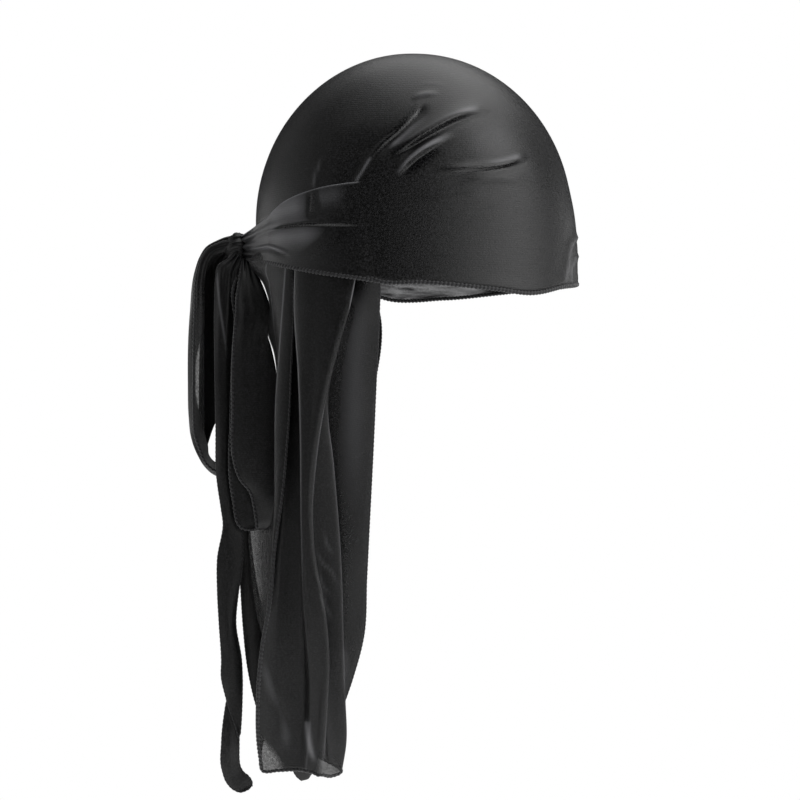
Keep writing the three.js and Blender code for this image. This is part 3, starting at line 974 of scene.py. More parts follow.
@dataclass
class Crown:
    """The fitted cap: a dome with a forehead band and temple folds, open below."""

    kit: Kit
    around: int = 336
    down: int = 144
    sweep: float = 100.0  # how far round its arc the dome is drawn, for the rings' spacing
    wall: float = 0.5
    step: float = 1.7  # the dome lies this far inside the strap
    tuck: float = 0.7  # and this far inside the band above it
    strap_ends: tuple[float, float] = (92.0, 151.0)
    nape: tuple[float, float] = (156.0, 176.0)  # both steps fade out over this
    band_top: tuple[float, float] = (-52.0, -68.0)
    hem_width: float = 6.5
    hem_rise: float = 0.25
    hem: Overlock = Overlock(1.25, 0.9, 2.4)
    hem_sunk: float = 0.3
    hem_ends: float = 105.0
    hem_points: int = 260
    ripple: float = 1.1  # slack in the left edge, seen from inside
    sheer: float = 0.6  # how sheer that edge is

    def shape(self, azimuth: Array, z: Array) -> tuple[Array, Array]:
        """Adds up folds, steps, hem and slack.

        Args:
            azimuth: degrees round from the forehead, to the left.
            z: height.

        Returns:
            How far the cloth lies outside the head's form, and the light on its folds.
        """
        folds, light = fold_shape(HEAD.face(azimuth, z), CAP_FOLDS)
        past = np.abs(azimuth) - SEAM.at(z)
        whole = smooth(self.nape[1], self.nape[0], np.abs(azimuth))
        under = STRAP_EDGES.all_at(np.clip(np.abs(azimuth), *self.strap_ends))[..., 1] - z
        # Steps where the dome goes under the strap, and under the band above it.
        low = (self.step - self.tuck) * smooth(0.5, 4.5, under) * smooth(5, 8.5, past)
        high = self.tuck * smooth(*self.band_top, z) * smooth(0, 1.3, past)
        above = z - RIM.at(azimuth)
        hem = self.hem_rise * smooth(self.hem_width, self.hem_width - 1.2, above)
        # The wearer's left edge hangs a little loose.
        loose = smooth(26, 4, above) * smooth(10, 30, azimuth) * smooth(118, 98, azimuth)
        slack = self.ripple * loose * np.sin(azimuth / 5.2 + z / 7.5)
        return folds - (low + high) * whole + hem - slack, light

    def surface(self) -> Surface:
        """Draws the dome as rings from its top down to its edge.

        A ring's drop is the edge's drop times (1 - cos a) / (1 - cos sweep), with a
        from 0 to the sweep. Rings crowd at the folds, and so do the points in them.

        Returns:
            The closed grid.
        """
        sweep = math.radians(self.sweep)
        share = crowded(self.down + 1, 0, 1, about=0.6, width=0.17, more=2.4)[1:]
        azimuth = crowded(self.around + 1, -180, 180, about=-84, width=27, more=6)[None, :-1]
        rim = RIM.at(azimuth)
        rings = ((1 - np.cos(share * sweep)) / (1 - math.cos(sweep)))[:, None]
        z = HEAD.wall - (HEAD.wall - rim) * rings
        lift, light = self.shape(azimuth, z)
        points = HEAD.lifted(azimuth, z, lift)
        uv = np.stack([points[..., 0], points[..., 2]], axis=2)
        thin = smooth(16, 9, z - rim) * smooth(0, 14, azimuth) * smooth(130, 115, azimuth)
        top = np.array([0, 0, HEAD.wall])
        return Surface("crown_cloth", points, True, top, None, uv, thin * self.sheer, light)

    def build(self) -> None:
        """Makes the cap, and the stitched edge of its band."""
        cloth = self.kit.crown, self.kit.back
        dress(self.surface(), Slot.CROWN, *cloth, node="crown", wall=self.wall, offset=-1.0)
        azimuth = np.linspace(-self.hem_ends, self.hem_ends, self.hem_points)
        z = RIM.at(azimuth)
        path = HEAD.lifted(azimuth, z, self.shape(azimuth, z)[0] - self.hem_sunk)
        hem = self.hem.along("crown_overlock", path, HEAD.normal(azimuth, z))
        dress(hem, Slot.CROWN, self.kit.thread)


@dataclass
class Strap:
    """One tie strap, from the forehead band round the side of the head to the knot."""

    kit: Kit
    side: Side
    start: dict[Side, float] = field(default_factory=lambda: {Side.RIGHT: 97, Side.LEFT: 104})
    lean: float = 3.0  # its start lies this many degrees further round at the top
    leaves: float = 151.0  # degrees round where it leaves the head
    on_head: float = 0.74  # share of its length before that
    along: int = 150
    across: int = 70
    wall: float = 0.5
    lift: float = 0.12
    sunk: float = 1.35  # its start lies this far under the band
    sunk_over: tuple[float, float] = (13.0, 1.0)  # degrees past its start
    top_light: float = 0.7
    sheer: float = 0.5
    knot: tuple[float, float] = (-110.0, -120.0)  # x, z
    on_knot: tuple[float, float, float] = (4.65, 7.0, 10.6)  # half axes of the arc it ends in
    arc: tuple[float, float] = (-34.0, 50.0)
    gather: float = 1.08
    gathers: float = 3.5
    hem: Overlock = Overlock(1.3, 0.95, 2.4)
    hem_from: int = 8  # columns of the grid that the hem leaves out under the band

    @property
    def word(self) -> str:
        """The side as it stands in the pieces' names."""
        return self.side.name.lower()

    def surface(self) -> Surface:
        """Draws the strap as a grid along its length and across it.

        On the head it is the head's form lifted by its folds. Past the place where
        it leaves, each point moves evenly to its place on an arc in the knot, and
        the cloth is moved by gather * sin(gathers * 2 pi v).

        Returns:
            The grid, with its faces outwards on either side.
        """
        left = self.side is Side.LEFT
        u = np.linspace(0, 1, self.along)[:, None]
        v = np.linspace(0, 1, self.across)[None, :]
        start = self.start[self.side] + self.lean * v
        azimuth = start + (self.leaves - start) * np.minimum(u / self.on_head, 1.0)
        hem, top = np.moveaxis(STRAP_EDGES.all_at(azimuth), -1, 0)
        z = hem + (top - hem) * v
        face = HEAD.face(-azimuth, z)
        folds, light = fold_shape(face, TEMPLE_FOLDS)
        own, glint = fold_shape(face, STRAP_FOLDS)
        lift = self.lift - self.sunk * smooth(*self.sunk_over, azimuth - start) + folds + own
        points = HEAD.lifted(-azimuth, z, lift)
        # A highlight painted along the strap's top edge.
        edge = smooth(1 - 1.3 / self.across, 1, v) * smooth(0.11, 0.135, u) * self.top_light
        light = glint + light + edge
        thin = self.sheer * smooth(118, 108, azimuth) * smooth(16, 9, z - hem) * left
        free = np.clip((u - self.on_head) / (1 - self.on_head), 0, 1)
        turn = np.radians(self.arc[0] + (self.arc[1] - self.arc[0]) * v)
        (x, low), (deep, wide, high) = self.knot, self.on_knot
        end = points_of(x + deep * np.cos(turn), -wide * np.cos(turn), low + high * np.sin(turn))
        points = points + (end - points) * free[..., None]
        wave = self.gather * np.sin(2 * np.pi * self.gathers * v + 0.6) * smooth(0.35, 1.0, free)
        points = points + grid_normals(points) * wave[..., None]
        points[..., 1] *= -self.side.value
        uv = np.stack([azimuth * 1.6 * np.ones_like(z), z], axis=2)
        if left:
            points, uv, light, thin = points[::-1], uv[::-1], light[::-1], thin[::-1]
        return Surface(f"strap_cloth_{self.word}", points, uv=uv, sheer=thin, crest=light)

    def build(self) -> None:
        """Makes the strap and its stitched lower edge."""
        surface = self.surface()
        solid, cloth = f"strap_{self.word}", self.kit.strap
        piece = dress(surface, Slot.STRAP, cloth, node=solid, wall=self.wall, offset=-1.0)
        keep = slice(None, -self.hem_from) if self.side is Side.LEFT else slice(self.hem_from, None)
        path, out = surface.points[keep, 0], grid_normals(surface.points)[keep, 0]
        hem = self.hem.along(f"strap_overlock_{self.word}", path, out)
        hem = dress(hem, Slot.STRAP, self.kit.thread)


@dataclass
class Knot:
    """The bow's knot: wound turns of strap, pulled tight."""

    kit: Kit
    centre: tuple[float, float, float] = (-110.0, 0.0, -120.0)
    half: tuple[float, float, float] = (8.5, 10.0, 11.0)
    core: float = 0.86  # size between the turns
    ridge: float = 0.13
    thread: float = 0.03
    pole: float = 0.93

    def surface(self) -> Surface:
        """Draws an egg whose face is raised in slanting turns.

        Its radius is core + ridge * |cos s|^0.7 + thread * sin 9s, where s slants
        from the top to the bottom.

        Returns:
            The closed grid.
        """
        lift = np.linspace(np.pi / 2, -np.pi / 2, 60)[1:-1, None]
        turn = np.linspace(0, 2 * np.pi, 96, endpoint=False)[None, :]
        slant = lift * 3.1 + np.sin(turn - 0.6) * 0.9
        fine = self.thread * np.sin(slant * 9 + 2 * np.sin(turn))
        size = self.core + self.ridge * np.abs(np.cos(slant * 1.35)) ** 0.7 + fine * np.cos(lift)
        egg = points_of(np.cos(lift) * np.cos(turn), np.cos(lift) * np.sin(turn), np.sin(lift))
        centre = np.asarray(self.centre)
        points = centre + egg * size[..., None] * np.asarray(self.half)
        pole = np.array([0, 0, self.half[2] * self.pole])
        return Surface("knot_cloth", points, True, centre + pole, centre - pole)

    def build(self) -> None:
        """Makes the knot."""
        dress(self.surface(), Slot.KNOT, self.kit.knot, node="knot")


@dataclass
class Band:
    """A loop of the bow or a free end: a strip of strap between two edges."""

    kit: Kit
    name: str
    rows: Rows  # x, y, z of the first edge, x, y, z of the second, cup between them
    flat: tuple[float, float]
    node: str | None = None  # the solid that it stands in for
    stations: int = 240
    across: int = 28
    wall: float = 0.45
    gathers: float = 0.75
    gather_ends: tuple[bool, bool] = (True, True)
    reach: float = 26.0  # how far along the gathers fade out
    ripple: float = 0.3
    hems: tuple[float, ...] = (0.0, 1.0)  # where across the strip its stitched edges lie
    hem_width: float = 1.05
    thin: float = 0.5
    thin_from: float = 2.0  # share across from which the strip is one sheer layer
    thin_heights: tuple[float, float] = (0.0, 0.0)
    thin_ends: float = 32.0
    folds: tuple[Fold, ...] = ()
    to_near: float = 20.0  # folds are read on the wearer's right, where they show in full

    def surface(self) -> Surface:
        """Draws the strip: straight between its edges, then cupped, gathered and rippled.

        It is moved along its face by cup * (1 - v^2), by gathers * sin(3 pi v + ...)
        that fades with the distance from a gathered end, and by a slow ripple.

        Returns:
            The grid.
        """
        rows = np.asarray(self.rows, float)
        keys = lengths((rows[:, :3] + rows[:, 3:6]) / 2)
        at = np.linspace(0, keys[-1], self.stations)
        read = through(keys, rows, at)
        share = np.linspace(0, 1, self.across)[None, :]
        first, second = read[:, None, :3], read[:, None, 3:6]
        points = first + (second - first) * share[..., None]
        v = 2 * share - 1
        near = np.exp(-at / self.reach) * self.gather_ends[0]
        near = (near + np.exp(-(keys[-1] - at) / self.reach) * self.gather_ends[1])[:, None]
        at = at[:, None]
        wave = self.gathers * near * np.sin(np.pi * 3 * v + 0.7 + 0.4 * np.sin(at / 9))
        ripple = self.ripple * np.sin(at / 17 + 2.2 * v) * (1 - near)
        rise = read[:, 6:7] * (1 - v**2) + wave + ripple
        points = points + grid_normals(points) * rise[..., None]
        (high, low), z = self.thin_heights, points[..., 2]
        window = smooth(high, high - self.thin_ends, z) * smooth(low, low + self.thin_ends, z)
        start = self.thin_from + 0.5 * (1 - window)
        thin = smooth(0.0, 0.14, share - start) * (window > 0)
        light = fold_shape(points - [0, self.to_near, 0], self.folds)[1] if self.folds else None
        return Surface(self.name, points, sheer=thin * self.thin, crest=light)

    def build(self) -> None:
        """Makes the strip and its stitched edges."""
        surface = self.surface()
        piece = dress(surface, Slot.STRAP, self.kit.strap, node=self.node, wall=self.wall)
        out = grid_normals(surface.points)
        edge = Overlock(self.hem_width, 0.75 * self.hem_width)
        for count, share in enumerate(self.hems):
            column = round(share * (self.across - 1))
            name = f"{self.name}_overlock_{count}"
            hem = edge.along(name, surface.points[:, column], out[:, column])
            dress(hem, Slot.STRAP, self.kit.thread)


# Rows of the bow's strips: x, y, z of the first edge, x, y, z of the second, and how far
# the strip is cupped between them.

OUTER_LOOP: Rows = (
    (-106.5, -3, -115.5, -106, -5, -123, 0.5),
    (-110.5, -2, -112, -110, -5, -122.5, 1),
    (-115.5, -1, -111.5, -115, -5, -121, 1.5),
    (-123, 0, -114, -120.5, -5, -122, 1.5),
    (-130, 0.5, -118, -125, -5, -124.5, 1.5),
    (-134, 1, -124, -128, -5, -129, 1.5),
    (-137, 1, -133, -130, -5, -137, 1.5),
    (-140, 1, -160, -130.5, -5, -160, 1),
    (-141.5, 1, -202, -130.5, -5, -202, 1),
    (-141, 1, -224, -130.5, -5, -222, 1),
    (-139.5, 1.5, -237, -130.5, -5, -233, 1),
    (-135.5, 2, -248, -128.5, -4, -242, 1),
    (-131, 3, -255.5, -128, -3, -248, 1),
    (-125.5, 4, -260.5, -125, -2, -252, 1),
    (-120, 5, -262, -120.5, 0, -254, 1),
    (-115.5, 5, -258.5, -119, 2, -249.5, 1),
    (-114.5, 6, -246, -120.5, 3, -239.5, 1),
    (-114.5, 7, -190, -121, 4, -190, 1),
    (-114, 6, -145, -119.5, 3, -145.5, 1),
    (-110.5, 3, -128, -114, 1, -127, 0.5),
)

OUTER_LOOP_BACK: Rows = (
    (-108, 0, -124.5, -111, 0, -119.5, 0.5),
    (-115, 4, -126.5, -123, 3, -118, 1),
    (-118, 5, -131.5, -130.5, 3, -123.5, 1.5),
    (-119.5, 6, -142, -131.5, 3, -139.5, 1.5),
    (-119, 8, -164, -133.5, 4, -161, 1),
    (-118.5, 9, -211, -135, 5, -208, 1),
    (-120.5, 9, -221, -135, 5, -217.5, 1),
    (-125, 9, -228, -135.5, 5, -226, 0.5),
    (-130.5, 8, -243.5, -134.5, 5, -241, 0),
)

LONG_END: Rows = (
    (-110.5, -8, -121.5, -106.5, -8, -125, 0.5),
    (-115, -11, -126.5, -107, -10, -129.5, 1),
    (-120.5, -13, -130.5, -108, -12, -138, 2),
    (-122, -14, -137.5, -108.5, -13, -146.5, 2.5),
    (-122.5, -15, -150, -109, -14, -156, 2.5),
    (-122.5, -15, -196, -111, -14, -196, 2),
    (-122, -15, -230, -112, -14, -230, 2),
    (-121.5, -15, -261, -111.5, -14, -262.5, 2),
    (-118.5, -15, -282, -108, -14, -285.5, 1),
    (-117.5, -15, -289.5, -106.5, -14, -294.5, 1),
    (-121, -15, -312, -106, -14, -316, 1.5),
    (-121, -15, -331.5, -108.5, -14, -333, 1.5),
    (-120, -15, -351, -110, -14, -351.5, 1.5),
    (-118.5, -15, -374.5, -106.5, -14, -374.5, 1.5),
    (-118.5, -15, -385.5, -106, -14, -386, 1.5),
    (-115.5, -15, -398, -106, -14.5, -393, 1),
    (-109.5, -16, -416, -106.5, -15.5, -411, 0),
    (-108, -16, -422, -107, -16, -419.5, 0),
)

LONG_END_TIP: Rows = (
    (-114, -13, -391, -107.5, -12.5, -388.5, 0.5),
    (-116.5, -14, -405, -107, -13, -405, 0.5),
    (-118.5, -15, -425, -108, -14, -425.5, 1),
    (-118, -15, -442, -107, -14, -440.5, 1),
    (-115.5, -15, -449, -105, -14, -443.5, 0.8),
    (-110.5, -15, -454, -102, -14, -446, 0.5),
    (-105.5, -15, -455, -100, -14, -449.5, 0),
    (-101.5, -15, -453.5, -100, -14, -452, 0),
)

FRONT_LOOP: Rows = (
    (-106.5, -9, -126.5, -101.5, -10, -127.5, 0.5),
    (-107.5, -19, -141.5, -94, -22, -141, 1.2),
    (-108.5, -24, -154, -89, -27, -153, 1.4),
    (-108.5, -25, -161, -87, -28.5, -160, 1.4),
    (-109, -26, -167.5, -87, -29, -166.5, 1.4),
    (-109.5, -26, -175.5, -89, -29, -174, 1.4),
    (-110, -26, -183, -87, -29, -181.5, 1.4),
    (-110.5, -26, -197.5, -84, -29, -195.5, 1.4),
    (-110.5, -26, -220.5, -83.5, -29, -217.5, 1.5),
    (-111, -26, -236, -83.5, -29, -234, 1.5),
    (-110, -26, -250, -83.5, -29, -249.5, 1.3),
    (-106, -26, -262, -83.5, -29, -263, 1),
    (-99.5, -26, -270.5, -83.5, -29, -275, 0.7),
    (-97, -25.5, -281.5, -84, -28, -284, 0.3),
    (-96, -24.5, -290, -85, -26, -290.5, 0),
    (-96.5, -23, -292.5, -87.5, -23, -293, 0),
    (-99.5, -21.5, -293, -90, -21.5, -293, 0),
    (-104, -21, -292.5, -88.5, -21, -290.5, 0),
    (-107, -21, -290.5, -87, -21, -283, 0),
    (-110.5, -21, -275.5, -88.5, -21, -266.5, 0),
    (-112.5, -21.5, -260.5, -90.5, -21, -245, 0.5),
    (-112, -22, -227, -93.5, -19, -208.5, 1),
    (-110.5, -22, -181, -96, -17, -165.5, 1),
    (-109.5, -21, -164.5, -98.5, -15, -150.5, 1),
    (-111.5, -18, -148, -103, -10, -138.5, 0.8),
    (-107.5, -8, -130, -105, -5, -127.5, 0.5),
)

SHORT_END: Rows = (
    (-111, 0, -126, -106, 2, -128, 0.5),
    (-111, -2, -136.5, -102.5, -1, -136.5, 1),
    (-112, -6, -152.5, -101, -5, -152.5, 1),
    (-112, -7, -227, -102, -6, -227, 1),
    (-112, -7, -264, -103, -6, -264, 1),
    (-109.5, -7, -295, -102, -6, -295, 1),
    (-107.5, -7, -330, -98, -6, -328, 1.2),
    (-106, -7, -354, -93, -6, -351, 1.2),
    (-103, -7, -381, -88.5, -5, -373, 1.2),
    (-97, -7, -406.5, -83, -3, -395, 1),
    (-89.5, -6, -425.5, -73, -2, -413, 1),
    (-81.5, -4, -436.5, -69.5, -1, -425.5, 1),
    (-76, -1, -444.5, -67, 0, -436.5, 1),
    (-72.5, 0, -450, -63, 1, -445.5, 0.5),
    (-70, 0.5, -452, -66.5, 1, -451, 0),
)


@dataclass(frozen=True)
class TailLine:
    """One fold line of the tail, from the nape to the hem.

    nape is in degrees round from the forehead by the wearer's right, tuck is how far
    the pleat lies inside the nape's line, and each point is x, y, z. Light makes the
    line paler, most at the first of light_ends and least at the second.
    """

    name: str
    nape: float
    tuck: float
    points: Rows
    sheer: float = 0.0
    # a highlight painted along the line
    light: float = 0.0
    light_ends: tuple[float, float] = (-150.0, -430.0)

    def glint(self, z: Array) -> Array:
        """Light on the fold at a height, dimmer towards the hem."""
        high, low = self.light_ends
        return 0.5 * self.light * smooth(high + 12, high, z) * (0.25 + 0.75 * smooth(low, high, z))

    def at(self, share: Array) -> Array:
        """Reads the line.

        Args:
            share: shares of its height, 0 at its top and 1 at the hem.

        Returns:
            A point for each.
        """
        azimuth = 360 - self.nape if self.nape > 180 else -self.nape
        edge = float(RIM.at(np.array([azimuth]))[0]) + 3.0
        top = HEAD.lifted(azimuth, edge, -(2.2 + self.tuck))
        rows = np.concatenate([top.reshape(1, 3), np.asarray(self.points, float)])
        z = rows[0, 2] + (rows[-1, 2] - rows[0, 2]) * share
        plan = through(-rows[:, 2], rows[:, :2], -z)
        return np.concatenate([plan, z[:, None]], axis=1)


TAIL_LINES = (
    TailLine("right edge", 100.6, 1.2, (
        (-21.5, -56, -173), (-23, -50, -202.5), (-25, -45, -244.5), (-27.5, -40, -292),
        (-29, -36, -320.5), (-31, -32, -357.5), (-38, -29, -384), (-44, -27, -402), (-50, -24, -427)
    ), sheer=0.1),
    TailLine("rear panel", 105, 2, (
        (-31, -60, -165), (-38, -51, -216), (-44, -40, -315), (-54, -31, -395), (-58, -27, -426)
    ), sheer=0.14),
    TailLine("under tuck", 111.5, 5.5, (
        (-42, -61, -160), (-57, -51, -216), (-65, -38, -315), (-71, -32, -395), (-69, -28, -425)
    ), sheer=0.12),
    TailLine("long fold", 109.5, 4, (
        (-41, -64.5, -156), (-46.5, -61, -185), (-51.5, -56, -215.5), (-48.5, -50.5, -253.5),
        (-44.5, -45, -309), (-43, -42, -359), (-42, -38, -393), (-41.5, -35, -422), (-44, -34, -438)
    ), sheer=0.06, light=0.8, light_ends=(-212, -420)),
    TailLine("inner tuck", 111, 2.2, (
        (-47, -67, -160), (-60, -59, -216), (-64, -51, -285), (-61, -47, -335), (-56, -43, -380),
        (-50, -39, -440)
    ), sheer=0.04),
    TailLine("front pleat", 108.5, 0, (
        (-38, -71, -160), (-43.5, -69, -179.5), (-52, -65, -214.5), (-57.5, -61.5, -249.5),
        (-60, -58.5, -285), (-58.5, -56.5, -307.5), (-53.5, -55.5, -335), (-51, -53, -363),
        (-52.5, -49, -399.5), (-55.5, -43.5, -438)
    ), sheer=0.05, light=0.9, light_ends=(-146, -300)),
    TailLine("front roll", 110.5, 0, (
        (-41, -71.5, -160), (-46.5, -70, -179.5), (-54.5, -66, -214.5), (-60, -62, -249.5),
        (-62, -59, -285), (-60.5, -57.5, -307.5), (-56, -56.5, -335), (-53.5, -54, -363),
        (-55, -50, -399.5), (-58, -44, -438)
    ), sheer=0.05),
    TailLine("front panel", 122, 0, (
        (-56, -67, -160), (-60, -64, -216), (-63, -61.5, -260), (-64, -58, -300), (-60.5, -55.5, -345),
        (-57.5, -50, -390), (-61, -43, -437)
    ), sheer=0.05),
    TailLine("ear pleat", 135.4, 0, (
        (-71, -58, -157.5), (-68.5, -61, -196.5), (-67.5, -61, -231), (-67, -58, -287.5),
        (-65.5, -55.5, -335), (-62, -50, -380), (-62, -46, -405.5), (-65, -42, -436)
    ), sheer=0.05, light=0.9, light_ends=(-140, -360)),
    TailLine("valley", 136.4, 4, (
        (-70.5, -49, -160), (-68, -48, -216), (-67, -46, -290), (-66, -44, -345), (-66, -41, -395),
        (-70, -39, -436)
    ), sheer=0.04),
    TailLine("seam valley", 137.4, 3.4, (
        (-76, -46, -160), (-76, -45, -216), (-78, -43, -270), (-80, -42, -310), (-81, -42, -345),
        (-83, -40, -395), (-82, -37, -437)
    ), sheer=0.04),
    TailLine("centre seam", 138.5, 1.6, (
        (-72, -51, -167), (-73, -51, -191), (-74, -51, -217), (-76, -50, -245.5), (-79, -48, -274),
        (-83, -45.5, -299.5), (-86.5, -44, -335), (-91.5, -43, -363.5), (-94, -41, -397.5),
        (-94, -37, -419), (-92, -33, -437.5)
    ), sheer=0.08),
    TailLine("seam fold", 141, 0.6, (
        (-78.5, -47.5, -157.5), (-80.5, -46.5, -184.5), (-82.5, -46, -217), (-83, -44.5, -250.5),
        (-83.5, -42.5, -282), (-84.5, -41, -305), (-86, -39, -336.5), (-88, -36.5, -365),
        (-90, -33, -395), (-89.5, -28, -411)
    ), sheer=0.1, light=1, light_ends=(-138, -320)),
    TailLine("nape fold", 151, -0.4, (
        (-89.5, -35, -137), (-87.5, -36, -143), (-86.5, -37, -150), (-85, -38, -161),
        (-84, -38, -172.5), (-82.5, -37, -184), (-82.5, -36, -216), (-83, -33, -270), (-85, -31, -300),
        (-87, -28, -340), (-89, -24, -380), (-87, -22, -417)
    ), sheer=0.12, light=0.9, light_ends=(-125, -240)),
    TailLine("back pleat", 163, -0.6, (
        (-101, -20, -130.5), (-97, -20, -136.5), (-93, -20, -141.5), (-90.5, -20, -147),
        (-88.5, -20, -153), (-88, -20, -157.5), (-89.5, -20, -163), (-90, -20, -168),
        (-89.5, -20, -173), (-88, -19.5, -178), (-86, -19, -184), (-85, -18, -190), (-84, -16, -215),
        (-84.5, -14, -240), (-92, -11, -272), (-102, -9, -294), (-101, -10, -318), (-97, -13, -345),
        (-88, -21, -375), (-84, -25, -400), (-82, -21, -431)
    ), sheer=0.4, light=0.6, light_ends=(-120, -200)),
    TailLine("back", 176, -0.6, (
        (-91, -8, -138), (-85.5, -9, -148), (-83, -10, -160), (-80, -10, -216), (-74, -10, -270),
        (-72, -13, -315), (-74, -15, -395), (-75, -12, -438)
    ), sheer=0.25),
    TailLine("left pleat", 204, 0, (
        (-78, 25, -160), (-71, 10, -216), (-62, 2, -315), (-65.5, -3, -395), (-66, -2, -414)
    ), sheer=0.15),
    TailLine("left fall", 230, 0, (
        (-52, 50, -160), (-50, 26, -216), (-47, 12, -315), (-57, 5, -395), (-60, 4, -438)
    ), sheer=0.15),
    TailLine("left edge", 255.5, 0, (
        (-22, 62, -160), (-27, 38, -216), (-32.5, 22, -315), (-33, 20, -345), (-35.5, 18, -368),
        (-41, 15, -386), (-47, 12, -402), (-50, 10, -429)
    ), sheer=0.15),
)


@dataclass(frozen=True)
class SheerCorner:
    """A corner of the hem where the cloth is one layer."""

    middle: float  # x
    half: float
    top: float  # height of its upper edge at its left side
    slope: float  # how fast that falls to the right

    def at(self, x: Array, z: Array) -> Array:
        """0 to 1 over the corner: exp(-((x - middle) / half)^4) under its sloping edge."""
        under = self.top - self.slope * (x - self.middle + self.half) - z
        return bell(x - self.middle, self.half, 4) * smooth(-2, 6, under)


SHEER_CORNERS = (SheerCorner(-87.5, 8.5, -410, 1.2), SheerCorner(-50.5, 7, -420, 0.9))


@dataclass
class Tail:
    """The flap of cloth that hangs from the nape, in folds."""

    kit: Kit
    between: int = 18  # columns from one line to the next
    down: int = 150
    wall: float = 0.45
    left_depth: float = 3.5  # of the soft pleats in its left half
    left_count: float = 3.5
    soft: float = 0.5
    corner_sheer: float = 0.45
    window: tuple[float, float] = (-283.0, -341.0)  # heights of the sheer part by the rear loop
    window_sheer: float = 0.55
    glint_width: float = 0.55

    @property
    def names(self) -> list[str]:
        """The lines' names, from the right edge round to the left."""
        return [line.name for line in TAIL_LINES]

    def surface(self) -> Surface:
        """Draws rows across the cloth through all its fold lines.

        Soft pleats, depth * sin(2 pi count * share), run down its left half, and the
        front half is moved along its face by its small folds.

        Returns:
            The grid, with how sheer it is and the light on its folds.
        """
        share = np.linspace(0, 1, self.down)
        lines = np.stack([line.at(share) for line in TAIL_LINES], axis=1)
        points = spread_lines(lines, self.between)
        order = np.arange(points.shape[1]) / self.between
        rear = self.names.index("back pleat")
        past = (order - rear) / (len(TAIL_LINES) - 1 - rear)
        across = np.gradient(points, axis=1)
        flat = unit(points_of(-across[..., 1], across[..., 0], 0 * across[..., 0]))
        swing = smooth(0.05, 0.5, share) * smooth(1.0, 0.8, share)
        depth = self.left_depth * swing[:, None] * smooth(0.1, 0.4, past)
        wave = depth * np.sin(2 * np.pi * self.left_count * np.clip(past, 0, 1))
        share = share[:, None]
        soft = self.soft * np.sin(order[None] * 2.1 + 3 * share) * smooth(0.1, 0.4, share)
        points = points + flat * (wave + soft)[..., None]
        sheer, light = self.sheer(points, order), self.glints(points, order)
        rise, glow = fold_shape(points, TAIL_FOLDS)
        front = order[None] < self.names.index("nape fold")
        points = points - flat * (rise * front)[..., None]
        return Surface("tail_cloth", points, sheer=sheer, crest=light + glow * front)

    def sheer(self, points: Array, order: Array) -> Array:
        """Works out how sheer the cloth is: by its lines, its corners and the rear window.

        Args:
            points: the grid.
            order: each column's place, counted in lines.

        Returns:
            0 to 1 for each point.
        """
        x, z = points[..., 0], points[..., 2]
        sheer = np.interp(order, np.arange(len(TAIL_LINES)), [line.sheer for line in TAIL_LINES])
        near = order[None] < self.names.index("nape fold") + 0.2
        for corner in SHEER_CORNERS:
            sheer = sheer + self.corner_sheer * corner.at(x, z) * near
        high, low = self.window
        tall = smooth(high + 7, high - 7, z) * smooth(low - 11, low + 11, z)
        wide = bell(order - self.names.index("back pleat") - 0.22, 0.72, 4)
        return np.clip(sheer + self.window_sheer * tall * wide, 0, 1)

    def glints(self, points: Array, order: Array) -> Array:
        """Works out the light along its fold lines, within glint_width of each.

        Args:
            points: the grid.
            order: each column's place, counted in lines.

        Returns:
            The light at each point.
        """
        light = np.zeros(points.shape[:2])
        for place, line in enumerate(TAIL_LINES):
            away = np.linalg.norm(points - points[:, place * self.between][:, None], axis=2)
            near = bell(away, self.glint_width) * (np.abs(order - place) < 1)
            light = light + near * line.glint(points[..., 2])
        return light

    def build(self) -> None:
        """Makes the tail, its stitched hem and its centre seam."""
        surface = self.surface()
        piece = dress(surface, Slot.TAIL, self.kit.tail, node="tail", wall=self.wall)
        out = grid_normals(surface.points)
        seam = self.names.index("centre seam") * self.between
        even, thicker = (1.0, 1.0), (0.6, 1.25)
        edges = {
            "tail_overlock_right": (slice(None), 0, 0.5, even),
            "tail_overlock_left": (slice(None), -1, 0.8, even),
            "tail_overlock_hem": (-1, slice(None), 1.0, even),
            "tail_centre_seam": (slice(None), seam, 1.0, thicker),
        }
        for name, (row, column, width, grow) in edges.items():
            edge = Overlock(width, 0.75 * width, grow=grow)
            hem = edge.along(name, surface.points[row, column], out[row, column])
            dress(hem, Slot.TAIL, self.kit.thread)


# ---- stage ----


# Each light's height in degrees, its degrees round from the wearer's front by the left,
# and its watts.
LIGHTS = {
    "front_high": (30, 330, 5.4),
    "front_low": (0, 330, 3.4),
    "front_side": (0, 300, 1.9),
    "side_top": (60, 315, 2.8),
    "front_top": (60, 0, 2.8),
    "overhead": (88, 0, 2.2),
    "far_front_top": (60, 45, 2.1),
    "low_back": (-35, 240, 1.1),
    "back": (0, 180, 1.3),
    "back_far": (0, 150, 1.8),
    "far_top": (60, 90, 1.7),
    "back_near": (0, 210, 0.65),
    "low_front": (-35, 300, 0.8),
    "back_top": (60, 225, 0.6),
    "front_far": (0, 30, 1.8),
    "back_high": (30, 180, 0.4),
    "front": (0, 0, 0.9),
    "far_back_top": (60, 135, 0.4),
    "far_front_high": (30, 30, 0.3),
    "back_near_high": (30, 210, 0.2),
    "back_far_high": (30, 150, 0.3),
}


